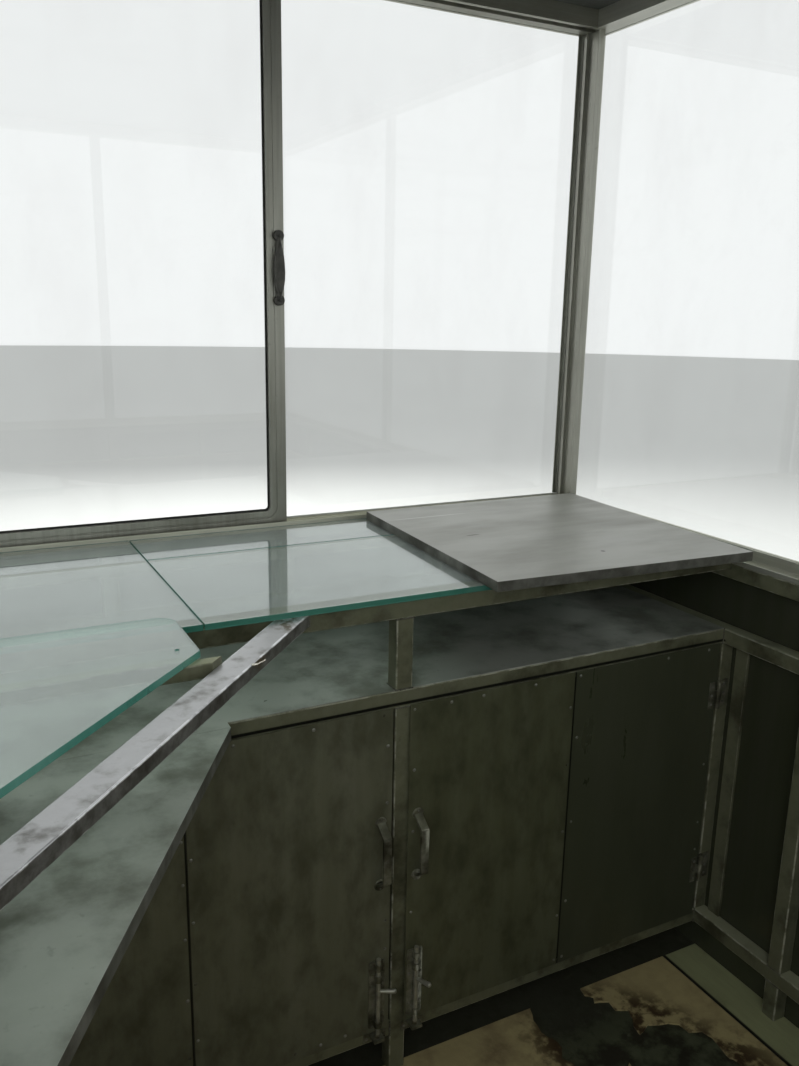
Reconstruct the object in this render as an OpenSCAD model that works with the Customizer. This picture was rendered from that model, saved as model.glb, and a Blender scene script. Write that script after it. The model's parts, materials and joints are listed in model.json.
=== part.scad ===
// Street kiosk: a small glazed cabin with a counter, a glass serving shelf and two cabinet doors.
// Millimetres, +Z up, +Y towards the serving window. The origin is on the ground under the middle.

/* [Cabin] */
// Width over the corner posts
body_w = 1914; // [1800:2:2600]
// Depth over the corner posts
body_d = 2550; // [2400:2:3400]
// Height of the floor surface above the ground
floor_z = 70; // [55:1:150]
// Height of the window heads above the floor
head_h = 2407; // [2200:1:2600]
// Height of the window head profile
head_t = 45; // [30:1:80]
// Height of the roof beams
beam_h = 70; // [50:1:120]
// Overhang of the roof past the corner posts
roof_overhang = 60; // [20:1:200]
// Thickness of the roof panel
roof_t = 45; // [30:1:90]
// Thickness of the floor board
board_t = 16; // [12:1:25]
// Thickness of the floor sheet and the floor strip
floor_sheet_t = 4; // [2:1:8]
// Width of the strip along the right wall
floor_strip_w = 113; // [60:1:160]

/* [Sections] */
// Side of the square tube in the walls and the counter
tube = 38; // [34:1:42]
// Rounding of the long edges of the tubes
tube_r = 3; // [1:0.5:4]
// Side of the corner posts
post = 44; // [42:1:50]
// Depth of the walls from the outer face of the posts to the inner face of the tubes
wall_in = 70; // [70:1:78]
// Thickness of the wall panels
panel_t = 30; // [20:1:30]
// Thickness of the counter sheets
sheet = 2; // [1.5:0.5:4]
// Width of the two-track window frame
track_w = 92; // [88:1:110]
// Thickness of the window glass
pane_t = 5; // [4:1:6]

/* [Counter] */
// Depth from the face of the counter to the outer face of the front wall
counter_d = 737; // [650:1:850]
// Height of the counter top above the floor
counter_h = 921; // [850:1:960]
// Height of the underside of the bottom rails above the floor
toe_h = 95; // [70:1:120]
// Where the edge of the corner wing leaves the counter, from the middle
wing_x = 368; // [330:1:500]
// How far the edge of the wing leans from the line of the left wall, in degrees
wing_angle = 30; // [30:1:45]
// Depth of the folded edge of the wing
wing_fold = 25; // [15:1:28]
// Overhang of the counter sheet at the wing
wing_lap = 23; // [10:1:30]

/* [Shelf] */
// Height of the top of the shelf frame above the floor
shelf_h = 1109; // [1090:1:1160]
// Height of the top of the sill rails of the side and back walls above the floor
sill_h = 1085; // [1072:1:1089]
// Thickness of the glass plates
plate_t = 12; // [8:1:12]
// Gap between neighbouring plates
plate_gap = 3; // [1:1:6]
// Overhang of the plates in front of the shelf rail
plate_over = 11; // [5:1:20]
// Where the side plates meet the middle one, from the middle
plate_seam_x = 408; // [350:1:600]
// Depth of the narrow plate along the window
back_plate_d = 192; // [150:1:300]
// Where the slanting tube meets the shelf rail, from the middle
brace_x = 238; // [200:1:350]
// How far the slanting tube leans from the line of the left wall, in degrees
brace_angle = 42; // [38:1:48]
// Width of the slanting tube
brace_w = 50; // [40:1:60]
// Height of the slanting tube
brace_h = 26; // [26:1:38]
// Distance from the shelf rail to the short cross rail
cross_d = 180; // [150:1:220]
// Width of the short cross rail
cross_w = 25; // [20:1:30]
// Where the corner plate ends, from the middle
corner_x = 456; // [430:1:520]
// Length of the straight end of the corner plate
corner_end = 186; // [150:1:220]
// Lap of the corner plate over the side plate
corner_lap = 35; // [10:1:60]
// Slant of the free edge of the corner plate, in degrees
corner_angle = 44; // [40:1:50]
// Rounding of the rear corner of the corner plate
corner_r = 35; // [10:1:60]

/* [Board] */
// Width of the loose board on the shelf
board_w = 673; // [500:1:690]
// Depth of the loose board at its left side
board_d = 690; // [600:1:704]
// Height of the folded rim of the board
board_rim = 22; // [15:1:35]
// Thickness of the board sheet
board_sheet = 3; // [2:0.5:4]
// How far the front and the sides of the board are turned, in degrees
board_turn = 3; // [0:0.5:3]
// Distance from the right wall to the board before it is turned
board_inset = 42; // [40:1:90]
// Overhang of the board in front of the shelf rail
board_over = 63; // [40:1:80]

/* [Doors] */
// Gap between a closed door and the frame behind it
door_gap = 5; // [5:0.5:8]
// Thickness of the door sheets
door_sheet = 2; // [1.5:0.5:3]
// Side of the tube in the door frames
door_tube = 20; // [15:1:22]
// Lap of the door sheets over the rails above and below
door_lap = 5; // [3:1:8]
// Lap of the right door over the middle post
post_lap = 7; // [3:1:10]
// Gap between the left door and the middle post
post_gap = 8; // [6:1:12]
// Where the two sheets of the left door meet, from the middle
left_seam = 456; // [300:1:600]
// Where the two sheets of the right door meet, from the middle
right_seam = 431; // [300:1:600]
// Gap between the two sheets of a door
seam_gap = 1.5; // [0.5:0.5:3]
// Distance from the wall to the edge of a door
hinge_gap = 15; // [15:1:18]
// Height of the lower hinges above the floor
hinge_low = 263; // [230:1:350]
// Height of the upper hinges above the floor
hinge_high = 750; // [650:1:780]
// Length of a hinge
hinge_l = 70; // [60:1:80]
// Radius of a hinge barrel
hinge_r = 6; // [5.5:0.5:6.5]
// Radius of a hinge pin
pin_r = 3; // [2:0.5:3.5]

/* [Door fittings] */
// Distance between the two feet of a pull handle
handle_l = 146; // [120:1:170]
// Height of the middle of the pull handles above the floor
handle_z = 563; // [500:1:600]
// How far a pull handle stands out
handle_out = 36; // [28:1:42]
// Width of the flat bar of a pull handle
handle_w = 18; // [12:1:22]
// Length of the plate of a tower bolt
bolt_l = 168; // [150:1:180]
// Width of the plate of a tower bolt
bolt_w = 38; // [32:1:40]
// Radius of the rod of a tower bolt
bolt_r = 5; // [3.5:0.5:5.5]
// Length of the thumb lever of a tower bolt
lever_l = 40; // [30:1:44]
// Distance from the middle of the left bolt to the middle of the cabinet
left_bolt = 57; // [50:1:64]
// Distance from the middle of the right bolt to the middle of the cabinet
right_bolt = 35; // [33:1:60]

/* [Doorway] */
// Distance from the back corner post to the post of the doorway
doorway_w = 755; // [700:1:800]
// Height of the underside of the doorway head above the floor
doorway_h = 1980; // [1850:1:2100]

/* [Hidden] */

steel = "#6f7166";
dark_steel = "#565a50";
alloy = "#84857a";
alloy_light = "#a3a59a";
shelf_green = [0.55, 0.72, 0.68, 0.55];
clear_glass = [0.8, 0.87, 0.87, 0.3];

// Plan
post_x = body_w / 2;
post_y = body_d / 2;
bay_x = post_x - post;
bay_y = post_y - post;
in_x = post_x - wall_in;
in_y = post_y - wall_in;
panel_x = in_x + tube;
panel_y = in_y + tube;
track_y = post_y - track_w;
face_y = post_y - counter_d;
door_post_y = -bay_y + doorway_w;
left_end = door_post_y + post;
left_mullion = (left_end + bay_y) / 2;

// Heights
board_z = floor_z - floor_sheet_t;
base_t = board_z - board_t;
top_z = floor_z + head_h;
beam_z = top_z + head_t;
roof_z = beam_z + beam_h;
rail_z = floor_z + toe_h;
rail_top = rail_z + tube;
counter_z = floor_z + counter_h;
mid_z = counter_z - sheet;
mid_low = mid_z - tube;
sill_z = floor_z + sill_h;
shelf_z = floor_z + shelf_h;
plate_z = shelf_z + plate_t;

// Studs: places along each wall. A flat strip covers the wall beside the stud of the doors.
corner_stud = face_y + tube / 2;
strip_w = 37;
strip_t = 8;
strip_y = face_y - 17 - strip_w;
right_studs = [278, -250, -760];
left_studs = [278, -190];
end_studs = [-450, 0, 450];
bearer_x = 430;

// Floor: the covering stops under the face of the counter. Torn spots as distances from the right
// wall and from the face of the counter, each with its reach.
floor_end = face_y + tube / 2;
floor_gap = 4;
torn_spots = [[-432, -38, 92], [-412, -118, 116], [-296, -276, 122], [-372, -400, 118], [-236, -330, 62]];

// Window profiles
glass_in = 12;
fin_t = 3;
sill_base = 6;
sill_lip = 12;
sill_block_w = 21;
sill_block = 32;
pane_mid = 12;
slot_gap = 0.5;
slot_w = pane_t + 2 * slot_gap;
slot_at = wall_in - pane_mid - slot_w / 2;
mullion_d = 27;

// The front window: two tracks, the sash in the one on the room side
track_base = 5;
room_fin = plate_t + 10;
fin_h = 9;
track_block_w = 22;
track_block = 14;
fixed_foot = track_base + 3;
mid_fin = track_w / 2 + 4;
fixed_mid = track_w - 14;
jamb_t = 10;
jamb_fin = 10;
upright_w = 26;
upright_d = 27;
stile_right = -3;
upright_right = stile_right + 5;
sash_mid = 28;
sash_d = 24;
stile_w = 44;
sash_foot = 50;
sash_corner_r = 12;
sash_lip = 16;
sash_left = -bay_x + jamb_t + 1;
sash_z = shelf_z + fin_h;
sash_top = top_z + glass_in - 3;
sash_glass_z = shelf_z + sash_foot;
sash_glass_top = sash_top - (sash_foot - fin_h);
pane_top = top_z + glass_in - 2;

// The corner wing and the slanting tube
wing_y = face_y - wing_lap;
wing_len = (in_x - wing_x) / tan(wing_angle);
brace_reach = (in_x - brace_x) / sin(brace_angle);

// The loose board, which stops short of the window frame, and the shelf plates
board_x = in_x - board_w - board_inset;
board_y = face_y - board_over;
board_reach = min(board_d, track_y - 3 - board_y);
plate_front = face_y - plate_over;
plate_rear = track_y - 1;
plate_seam_y = plate_rear - back_plate_d;
plate_edge = in_x - 2;

// Doors
door_back = face_y - door_gap;
door_y = door_back - door_sheet;
edge_x = in_x - hinge_gap;
right_edge = tube / 2 - post_lap;
left_edge = -tube / 2 - post_gap;
door_top = mid_low + door_lap;
door_bottom = rail_top - door_lap;
frame_clear = 8;
frame_out = edge_x - frame_clear;
frame_in = tube / 2 + frame_clear;

// Hinges
hinge_x = edge_x + hinge_r;
hinge_y = door_y - 4;
hinge_zs = [floor_z + hinge_low, floor_z + hinge_high];
third = hinge_l / 3;
leaf_t = 2;
pin_gap = 0.05;
knuckle_gap = 0.4;

// Tower bolts
bolt_out = 10;
bolt_y = door_y - bolt_out;
bolt_z = door_bottom + 12;
keeper_t = 6;
keeper_drop = 7;

// A square or flat bar with its low corner at p and the size s.
module bar(p, s) {
    translate(p) cube(s);
}

// Section of a tube with rounded corners.
module tube_outline(w, h) {
    r = min(tube_r, w / 4, h / 4);
    offset(r = r, $fn = 12) offset(delta = -r) square([w, h]);
}

// A tube along X, Y or Z with its low corner at p and the size s.
module tube_x(p, s) {
    translate(p) rotate([90, 0, 90]) linear_extrude(s.x) tube_outline(s.y, s.z);
}

module tube_y(p, s) {
    translate([p.x, p.y + s.y, p.z]) rotate([90, 0, 0]) linear_extrude(s.y) tube_outline(s.x, s.z);
}

module tube_z(p, s) {
    translate(p) linear_extrude(s.z) tube_outline(s.x, s.y);
}

// Copies the children to both sides of the middle.
module both_sides() {
    children();
    mirror([1, 0, 0]) children();
}

// Extrudes a profile drawn in the plane of X and Z from y0 to y1.
module run_y(y0, y1) {
    translate([0, y1, 0]) rotate([90, 0, 0]) linear_extrude(y1 - y0) children();
}

// Extrudes a profile drawn in the plane of Y and Z from x0 to x1.
module run_x(x0, x1) {
    translate([x0, 0, 0]) rotate([90, 0, 90]) linear_extrude(x1 - x0) children();
}

// Outline of a corner post in plan: a square section with flutes on the two faces to the room.
module post_outline() {
    flute = 5;
    flute_d = 2;
    flutes = 3;
    pitch = (post - 4) / flutes;
    difference() {
        square([post, post]);
        for (i = [0:flutes - 1]) {
            at = 2 + (i + 0.5) * pitch;
            translate([-1, at - flute / 2]) square([1 + flute_d, flute]);
            translate([at - flute / 2, -1]) square([flute, 1 + flute_d]);
        }
    }
}

module corner_posts() {
    color(alloy)
    both_sides() {
        translate([bay_x, bay_y, 0]) linear_extrude(roof_z) post_outline();
        translate([bay_x, -bay_y, 0]) mirror([0, 1, 0]) linear_extrude(roof_z) post_outline();
    }
}

module base_runners() {
    color(dark_steel) {
        both_sides() tube_y([bay_x, -bay_y, 0], [post, 2 * bay_y, base_t]);
        tube_y([-post / 2, -bay_y, 0], [post, 2 * bay_y, base_t]);
    }
}

module base_joists() {
    joists = 4;
    step = 2 * bay_y / joists;
    color(dark_steel) {
        both_sides()
            for (i = [1:joists - 1])
                tube_x([post / 2, -bay_y + i * step - post / 2, 0], [bay_x - post / 2, post, base_t]);
        for (y = [-post_y, bay_y]) tube_x([-bay_x, y, 0], [2 * bay_x, post, base_t]);
    }
}

// Room for the corner posts in the floor.
module post_notches() {
    both_sides()
        for (y = [bay_y, -bay_y - post]) bar([bay_x, y, base_t - 1], [post, post, floor_z]);
}

module floor_board() {
    color("#6d6a5c")
    difference() {
        bar([-panel_x, -panel_y, base_t], [2 * panel_x, 2 * panel_y, board_t]);
        post_notches();
    }
}

// One torn spot in plan: points around a middle whose distances wander.
module torn_spot(at, reach, seed) {
    points = 30;
    wander = rands(0.84, 1.08, points, seed);
    translate(at)
    polygon([for (i = [0:points - 1]) reach * wander[i] * [cos(360 * i / points), sin(360 * i / points)]]);
}

// The floor sheet is torn open in front of the right door.
module floor_sheet() {
    seed = 11;
    color("#a99f86")
    difference() {
        bar([-panel_x, -panel_y, board_z],
            [2 * panel_x - floor_strip_w - floor_gap, floor_end + panel_y, floor_sheet_t]);
        post_notches();
        translate([in_x, face_y, board_z - 1])
        linear_extrude(floor_sheet_t + 2)
        for (i = [0:len(torn_spots) - 1])
            torn_spot([torn_spots[i][0], torn_spots[i][1]], torn_spots[i][2], seed + i);
    }
}

module floor_strip() {
    color("#7f8272")
    bar([panel_x - floor_strip_w, -in_y, board_z], [floor_strip_w, floor_end + in_y, floor_sheet_t]);
}

module side_rails() {
    color(alloy_light)
    for (z = [rail_z, mid_low, sill_z - tube]) {
        tube_y([in_x, -in_y, z], [tube, 2 * in_y, tube]);
        tube_y([-panel_x, left_end, z], [tube, in_y - left_end, tube]);
    }
}

module end_rails() {
    ledge = 30;
    ledge_t = 4;
    color(alloy_light) {
        for (z = [rail_z, mid_low, sill_z - tube]) tube_x([-bay_x, -panel_y, z], [2 * bay_x, tube, tube]);
        for (z = [rail_z, mid_low, shelf_z - tube]) tube_x([-bay_x, in_y, z], [2 * bay_x, tube, tube]);
        bar([-in_x, track_y - ledge, shelf_z - ledge_t], [2 * in_x, in_y - track_y + ledge, ledge_t]);
    }
}

// A stud of one wall: a foot, a length between the rails and a length above the middle rail.
module stud(p, top, ground = floor_z) {
    tube_z([p.x, p.y, ground], [tube, tube, rail_z - ground]);
    tube_z([p.x, p.y, rail_top], [tube, tube, mid_low - rail_top]);
    tube_z([p.x, p.y, mid_z], [tube, tube, top - mid_z - tube]);
}

module wall_studs() {
    between = mid_low - rail_top;
    color(alloy_light) {
        for (y = right_studs) stud([in_x, y - tube / 2], sill_z);
        for (y = left_studs) stud([-panel_x, y - tube / 2], sill_z);
        both_sides() {
            tube_z([in_x, corner_stud - tube / 2, rail_top], [tube, tube, between]);
            bar([panel_x - strip_t, strip_y, rail_top], [strip_t, strip_w, between]);
        }
        for (x = end_studs) stud([x - tube / 2, -panel_y], sill_z);
        for (x = end_studs) stud([x - tube / 2, in_y], shelf_z, board_z);
    }
}

module front_cladding() {
    color(steel) bar([-bay_x, panel_y, base_t], [2 * bay_x, panel_t, shelf_z - base_t]);
}

module right_cladding() {
    color(steel) bar([panel_x, -bay_y, base_t], [panel_t, 2 * bay_y, sill_z - base_t]);
}

module left_cladding() {
    color(steel) bar([-panel_x - panel_t, left_end, base_t], [panel_t, bay_y - left_end, sill_z - base_t]);
}

module back_cladding() {
    color(steel) bar([-bay_x, -panel_y - panel_t, base_t], [2 * bay_x, panel_t, sill_z - base_t]);
}

// Section of a sill: the room side is at 0 and the outer side at wall_in.
module sill_section() {
    difference() {
        union() {
            square([wall_in, sill_base]);
            square([fin_t, sill_lip]);
            translate([wall_in - sill_block_w, 0]) square([sill_block_w, sill_block]);
        }
        translate([slot_at, glass_in]) square([slot_w, sill_block]);
    }
}

// Section of a head, drawn from its underside up.
module head_section() {
    difference() {
        square([wall_in, head_t]);
        translate([slot_at, -1]) square([slot_w, glass_in + 1]);
    }
}

// Takes the corners off a side sill or head, where the front and back frames cross it.
module corner_cut(z, h) {
    bar([in_x - 1, track_y, z - 1], [bay_x - in_x + 1, track_w, h + 2]);
    bar([in_x - 1, -post_y, z - 1], [bay_x - in_x + 1, wall_in, h + 2]);
}

module side_sills() {
    color(alloy) {
        difference() {
            translate([in_x, 0, sill_z]) run_y(-bay_y, bay_y) sill_section();
            corner_cut(sill_z, sill_block);
        }
        mirror([1, 0, 0])
        difference() {
            translate([in_x, 0, sill_z]) run_y(left_end, bay_y) sill_section();
            corner_cut(sill_z, sill_block);
        }
    }
}

module side_heads() {
    color(alloy)
    both_sides()
        difference() {
            translate([in_x, 0, top_z]) run_y(-bay_y, bay_y) head_section();
            corner_cut(top_z, head_t);
        }
}

module back_frame() {
    color(alloy)
    mirror([0, 1, 0]) {
        translate([0, in_y, sill_z]) run_x(-bay_x, bay_x) sill_section();
        translate([0, in_y, top_z]) run_x(-bay_x, bay_x) head_section();
    }
}

// Section of the two-track sill: the room side is at 0 and the street side at track_w.
module track_section() {
    difference() {
        union() {
            square([track_w, track_base]);
            square([fin_t, room_fin]);
            translate([sash_mid - fin_t / 2, 0]) square([fin_t, fin_h]);
            translate([mid_fin, 0]) square([fin_t, track_block]);
            translate([track_w - track_block_w, 0]) square([track_block_w, track_block]);
        }
        translate([fixed_mid - slot_w / 2, fixed_foot]) square([slot_w, track_block]);
    }
}

module front_sill() {
    end_x = bay_x - jamb_t;
    color(alloy_light) translate([0, track_y, shelf_z]) run_x(-end_x, end_x) track_section();
}

// The front head has a groove for the sash and a slot for the fixed pane.
module front_head() {
    groove = sash_d + 2;
    color(alloy)
    translate([0, track_y, top_z])
    run_x(-bay_x, bay_x)
    difference() {
        square([track_w, head_t]);
        translate([sash_mid - groove / 2, -1]) square([groove, glass_in + 1]);
        translate([fixed_mid - slot_w / 2, -1]) square([slot_w, glass_in + 1]);
    }
}

// A jamb of the front window: a flat web with three fins towards the opening.
module front_jamb() {
    foot = track_block + 1;
    fins = [[0, room_fin + 1], [mid_fin, foot], [track_w - fin_t, foot]];
    bar([bay_x - jamb_t, track_y, shelf_z], [jamb_t, track_w, top_z - shelf_z]);
    for (fin = fins)
        bar([bay_x - jamb_t - jamb_fin, track_y + fin[0], shelf_z + fin[1]],
            [jamb_fin, fin_t, top_z - shelf_z - fin[1]]);
}

module window_uprights() {
    side_z = sill_z + sill_block;
    side_h = top_z - side_z;
    color(alloy) {
        both_sides() front_jamb();
        bar([upright_right - upright_w, track_y + fixed_mid - upright_d / 2, shelf_z + track_block],
            [upright_w, upright_d, top_z - shelf_z - track_block]);
        bar([post_x - mullion_d, -post / 2, side_z], [mullion_d, post, side_h]);
        bar([-post_x, left_mullion - post / 2, side_z], [mullion_d, post, side_h]);
        bar([-post / 2, -post_y, side_z], [post, mullion_d, side_h]);
    }
}

// The doorway in the left wall: threshold, two jambs and the head under the transom pane.
module door_frame() {
    color(alloy) {
        bar([-post_x, -bay_y, base_t], [post_x - panel_x, left_end + bay_y, floor_z - base_t]);
        bar([-post_x, door_post_y, floor_z], [wall_in, post, top_z - floor_z]);
        bar([-post_x, -bay_y, floor_z], [post, bay_y - in_y, top_z - floor_z]);
        bar([-post_x, -in_y, floor_z + doorway_h], [wall_in, door_post_y + in_y, post]);
    }
}

// The opening of the sash with its rounded corners.
module sash_opening() {
    inner = stile_right - sash_left - 2 * stile_w;
    offset(r = sash_corner_r, $fn = 32)
    offset(delta = -sash_corner_r)
    translate([sash_left + stile_w, sash_glass_z]) square([inner, sash_glass_top - sash_glass_z]);
}

// The sash has a groove in its room face, which leaves a lip around the glass.
module front_sash() {
    groove_w = 3;
    groove_d = 2;
    color(alloy)
    translate([0, track_y + sash_mid + sash_d / 2, 0])
    rotate([90, 0, 0])
    difference() {
        linear_extrude(sash_d)
        difference() {
            translate([sash_left, sash_z]) square([stile_right - sash_left, sash_top - sash_z]);
            sash_opening();
        }
        translate([0, 0, sash_d - groove_d])
        linear_extrude(groove_d + 1)
        difference() {
            offset(delta = sash_lip + groove_w) sash_opening();
            offset(delta = sash_lip) sash_opening();
        }
    }
}

module sash_glass() {
    color(clear_glass)
    translate([0, track_y + sash_mid + pane_t / 2, 0])
    rotate([90, 0, 0])
    linear_extrude(pane_t)
    sash_opening();
}

module fixed_glass() {
    color(clear_glass)
    bar([upright_right, track_y + fixed_mid - pane_t / 2, shelf_z + fixed_foot],
        [bay_x - jamb_t - upright_right, pane_t, pane_top - shelf_z - fixed_foot]);
}

// The catch of the sash: two round bosses and a bulged, slightly flat grip between them.
module sash_lock() {
    lock_h = 1757;
    lock_x = stile_right - 16;
    boss_r = 12.5;
    boss_out = 12;
    boss_at = 75;
    grip_out = 10;
    grip_r = 14.5;
    grip_d = 17;
    grip = [[0, -69], [6, -69], [7, -60], [10.5, -48], [13.5, -30], [grip_r, -10], [13.5, 10], [12, 28],
        [9, 46], [6.3, 58], [5.8, 69], [0, 69]];
    color("#3c3b36")
    translate([lock_x, track_y + sash_mid - sash_d / 2, floor_z + lock_h]) {
        for (s = [-1, 1])
            translate([0, 0, s * boss_at]) rotate([90, 0, 0]) cylinder(h = boss_out, r = boss_r, $fn = 32);
        translate([0, -grip_out, 0])
        intersection() {
            rotate_extrude($fn = 32) polygon(grip);
            bar([-grip_r - 1, -grip_d / 2, -boss_at], [2 * grip_r + 2, grip_d, 2 * boss_at]);
        }
    }
}

module side_glass() {
    pane_x = post_x - pane_mid - pane_t / 2;
    low = sill_z + glass_in;
    high = pane_top - low;
    above_door = floor_z + doorway_h + post;
    half = post / 2;
    color(clear_glass) {
        for (y = [half, -bay_y]) bar([pane_x, y, low], [pane_t, bay_y - half, high]);
        for (y = [left_end, left_mullion + half])
            bar([-pane_x - pane_t, y, low], [pane_t, left_mullion - half - left_end, high]);
        bar([-pane_x - pane_t, -in_y, above_door], [pane_t, door_post_y + in_y, pane_top - above_door]);
    }
}

module back_glass() {
    low = sill_z + glass_in;
    color(clear_glass)
    both_sides()
        bar([post / 2, -post_y + pane_mid - pane_t / 2, low], [bay_x - post / 2, pane_t, pane_top - low]);
}

module roof_beams() {
    end_gap = 0.3;
    span = 2 * (bay_x - end_gap);
    color(dark_steel) {
        both_sides() tube_y([bay_x, -bay_y, beam_z], [post, 2 * bay_y, beam_h]);
        for (y = [-post_y, bay_y]) tube_x([-span / 2, y, beam_z], [span, post, beam_h]);
        for (y = [-450, 450]) tube_x([-span / 2, y - tube / 2, roof_z - tube], [span, tube, tube]);
    }
}

module ceiling() {
    ceiling_t = 6;
    color("#4b4a42") bar([-bay_x, -bay_y, beam_z], [2 * bay_x, 2 * bay_y, ceiling_t]);
}

// The roof panel with a lip around its edge that hangs down and lets the rain drip off.
module roof_panel() {
    lip_h = 22;
    lip_t = 3;
    reach_x = post_x + roof_overhang;
    reach_y = post_y + roof_overhang;
    color(steel)
    difference() {
        bar([-reach_x, -reach_y, roof_z - lip_h], [2 * reach_x, 2 * reach_y, roof_t + lip_h]);
        bar([lip_t - reach_x, lip_t - reach_y, roof_z - lip_h - 1],
            [2 * (reach_x - lip_t), 2 * (reach_y - lip_t), lip_h + 1]);
    }
}

module counter_rails() {
    color(alloy_light) {
        tube_x([-in_x, face_y, mid_low], [2 * in_x, tube, tube]);
        both_sides() tube_x([tube / 2, face_y, rail_z], [in_x - tube / 2, tube, tube]);
    }
}

// The middle post below and above the counter, and the two bearers under the counter sheet.
module counter_supports() {
    color(alloy_light) {
        tube_z([-tube / 2, face_y, floor_z], [tube, tube, mid_low - floor_z]);
        tube_z([-tube / 2, face_y, counter_z], [tube, tube, shelf_z - tube - counter_z]);
        both_sides()
            tube_y([bearer_x - tube / 2, face_y + tube, mid_low], [tube, in_y - face_y - tube, tube]);
    }
}

module counter_top() {
    color(steel) {
        bar([-in_x, face_y, mid_z], [2 * in_x, in_y - face_y, sheet]);
        bar([-in_x, wing_y, mid_z], [in_x - wing_x, wing_lap, sheet]);
    }
}

// The wing in plan: a triangle between the counter, the left wall and its slanting edge.
module wing_outline() {
    polygon([[-in_x, wing_y], [-wing_x, wing_y], [-in_x, wing_y - wing_len]]);
}

// The wing is a sheet with its edges folded down along the wall and along the slant.
module wing_top() {
    fold_x = sheet / cos(wing_angle);
    inner_run = in_x - wing_x - fold_x - sheet;
    color(steel)
    translate([0, 0, counter_z - wing_fold])
    difference() {
        linear_extrude(wing_fold) wing_outline();
        translate([0, 0, -1])
        linear_extrude(wing_fold - sheet + 1)
            polygon([[sheet - in_x, wing_y + 1], [tan(wing_angle) - wing_x - fold_x, wing_y + 1],
                [sheet - in_x, wing_y - inner_run / tan(wing_angle)]]);
    }
}

// The line of the slanting tube in plan, as a strip from side to side of its axis.
module brace_strip(from, to) {
    translate([-brace_x, face_y]) rotate(-90 - brace_angle) translate([-brace_reach, from])
        square([3 * brace_reach, to - from]);
}

module diagonal_tube() {
    color("#b9bab2")
    intersection() {
        translate([-brace_x, face_y, shelf_z - brace_h])
        rotate(-90 - brace_angle)
        tube_x([-brace_reach, -brace_w / 2, 0], [3 * brace_reach, brace_w, brace_h]);
        bar([-in_x, face_y - 2 * in_x, shelf_z - 2 * brace_h], [2 * in_x, 2 * in_x, 3 * brace_h]);
    }
}

// The front and rear rails under the glass, and the cross rail that ends on the slanting tube.
module shelf_frame() {
    rear_w = 25;
    cross_y = face_y - cross_d;
    color(alloy_light) {
        tube_x([-in_x, face_y, shelf_z - tube], [2 * in_x, tube, tube]);
        tube_x([-in_x, plate_seam_y - rear_w / 2, shelf_z - rear_w], [2 * in_x, rear_w, rear_w]);
        difference() {
            tube_x([-in_x, cross_y - cross_w / 2, plate_z - cross_w], [in_x - brace_x, cross_w, cross_w]);
            translate([0, 0, plate_z - 2 * cross_w])
            linear_extrude(3 * cross_w)
            brace_strip(-brace_w / 2, in_x);
        }
    }
}

// One glass plate of the shelf.
module plate(x0, y0, x1, y1) {
    bar([x0, y0, shelf_z], [x1 - x0, y1 - y0, plate_t]);
}

module shelf_glass() {
    half = plate_gap / 2;
    seam = plate_seam_x - half;
    color(shelf_green) {
        both_sides() plate(plate_seam_x + half, plate_front, plate_edge, plate_rear);
        plate(-seam, plate_front, seam, plate_seam_y - half);
        plate(-seam, plate_seam_y + half, seam, plate_rear);
    }
}

// The corner plate lies on the left plate and on the cross rail.
module corner_glass() {
    rear = plate_front + corner_lap;
    near = rear - corner_end;
    slant = (plate_edge - corner_x) / tan(corner_angle);
    hole_r = 4;
    hole_in = 33;
    steps = 10;
    arc = [for (i = [0:steps]) [-corner_x - corner_r, rear - corner_r]
        + corner_r * [sin(90 * i / steps), cos(90 * i / steps)]];
    color(shelf_green)
    translate([0, 0, plate_z])
    linear_extrude(plate_t)
    difference() {
        polygon(concat([[-plate_edge, near - slant], [-plate_edge, rear]], arc, [[-corner_x, near]]));
        translate([-corner_x - hole_in, near + hole_in / 2]) circle(hole_r, $fn = 24);
    }
}

// The loose board in plan: its rear edge lies along the window, its front and sides are turned.
module board_outline() {
    intersection() {
        rotate(-board_turn) square([board_w, 2 * board_reach]);
        translate([-board_w, -board_w]) square([3 * board_w, board_w + board_reach]);
    }
}

// The loose board: a shallow tray laid upside down on the glass.
module tray_board() {
    color("#8d9091")
    translate([board_x, board_y, plate_z])
    difference() {
        linear_extrude(board_rim) board_outline();
        translate([0, 0, -1])
        linear_extrude(board_rim + 1 - board_sheet)
        offset(delta = -board_sheet)
        board_outline();
    }
}

// A cabinet door: two sheets from x0 to x1 that meet at seam, in front of a light frame from f0
// to f1 with a stile behind the seam.
module door(x0, x1, f0, f1, seam) {
    low = rail_top + frame_clear;
    high = mid_low - frame_clear;
    inner_low = low + door_tube;
    inner_h = high - low - 2 * door_tube;
    for (part = [[x0, seam - seam_gap / 2], [seam + seam_gap / 2, x1]])
        bar([part[0], door_y, door_bottom], [part[1] - part[0], door_sheet, door_top - door_bottom]);
    translate([0, door_back + door_tube, 0])
    rotate([90, 0, 0])
    linear_extrude(door_tube)
    difference() {
        translate([f0, low]) square([f1 - f0, high - low]);
        translate([f0 + door_tube, inner_low]) square([seam - f0 - 1.5 * door_tube, inner_h]);
        translate([seam + door_tube / 2, inner_low]) square([f1 - seam - 1.5 * door_tube, inner_h]);
    }
}

module left_door() {
    color(steel) door(-edge_x, left_edge, -frame_out, -frame_in, -left_seam);
}

module right_door() {
    color(steel) door(right_edge, edge_x, frame_in, frame_out, right_seam);
}

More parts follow.
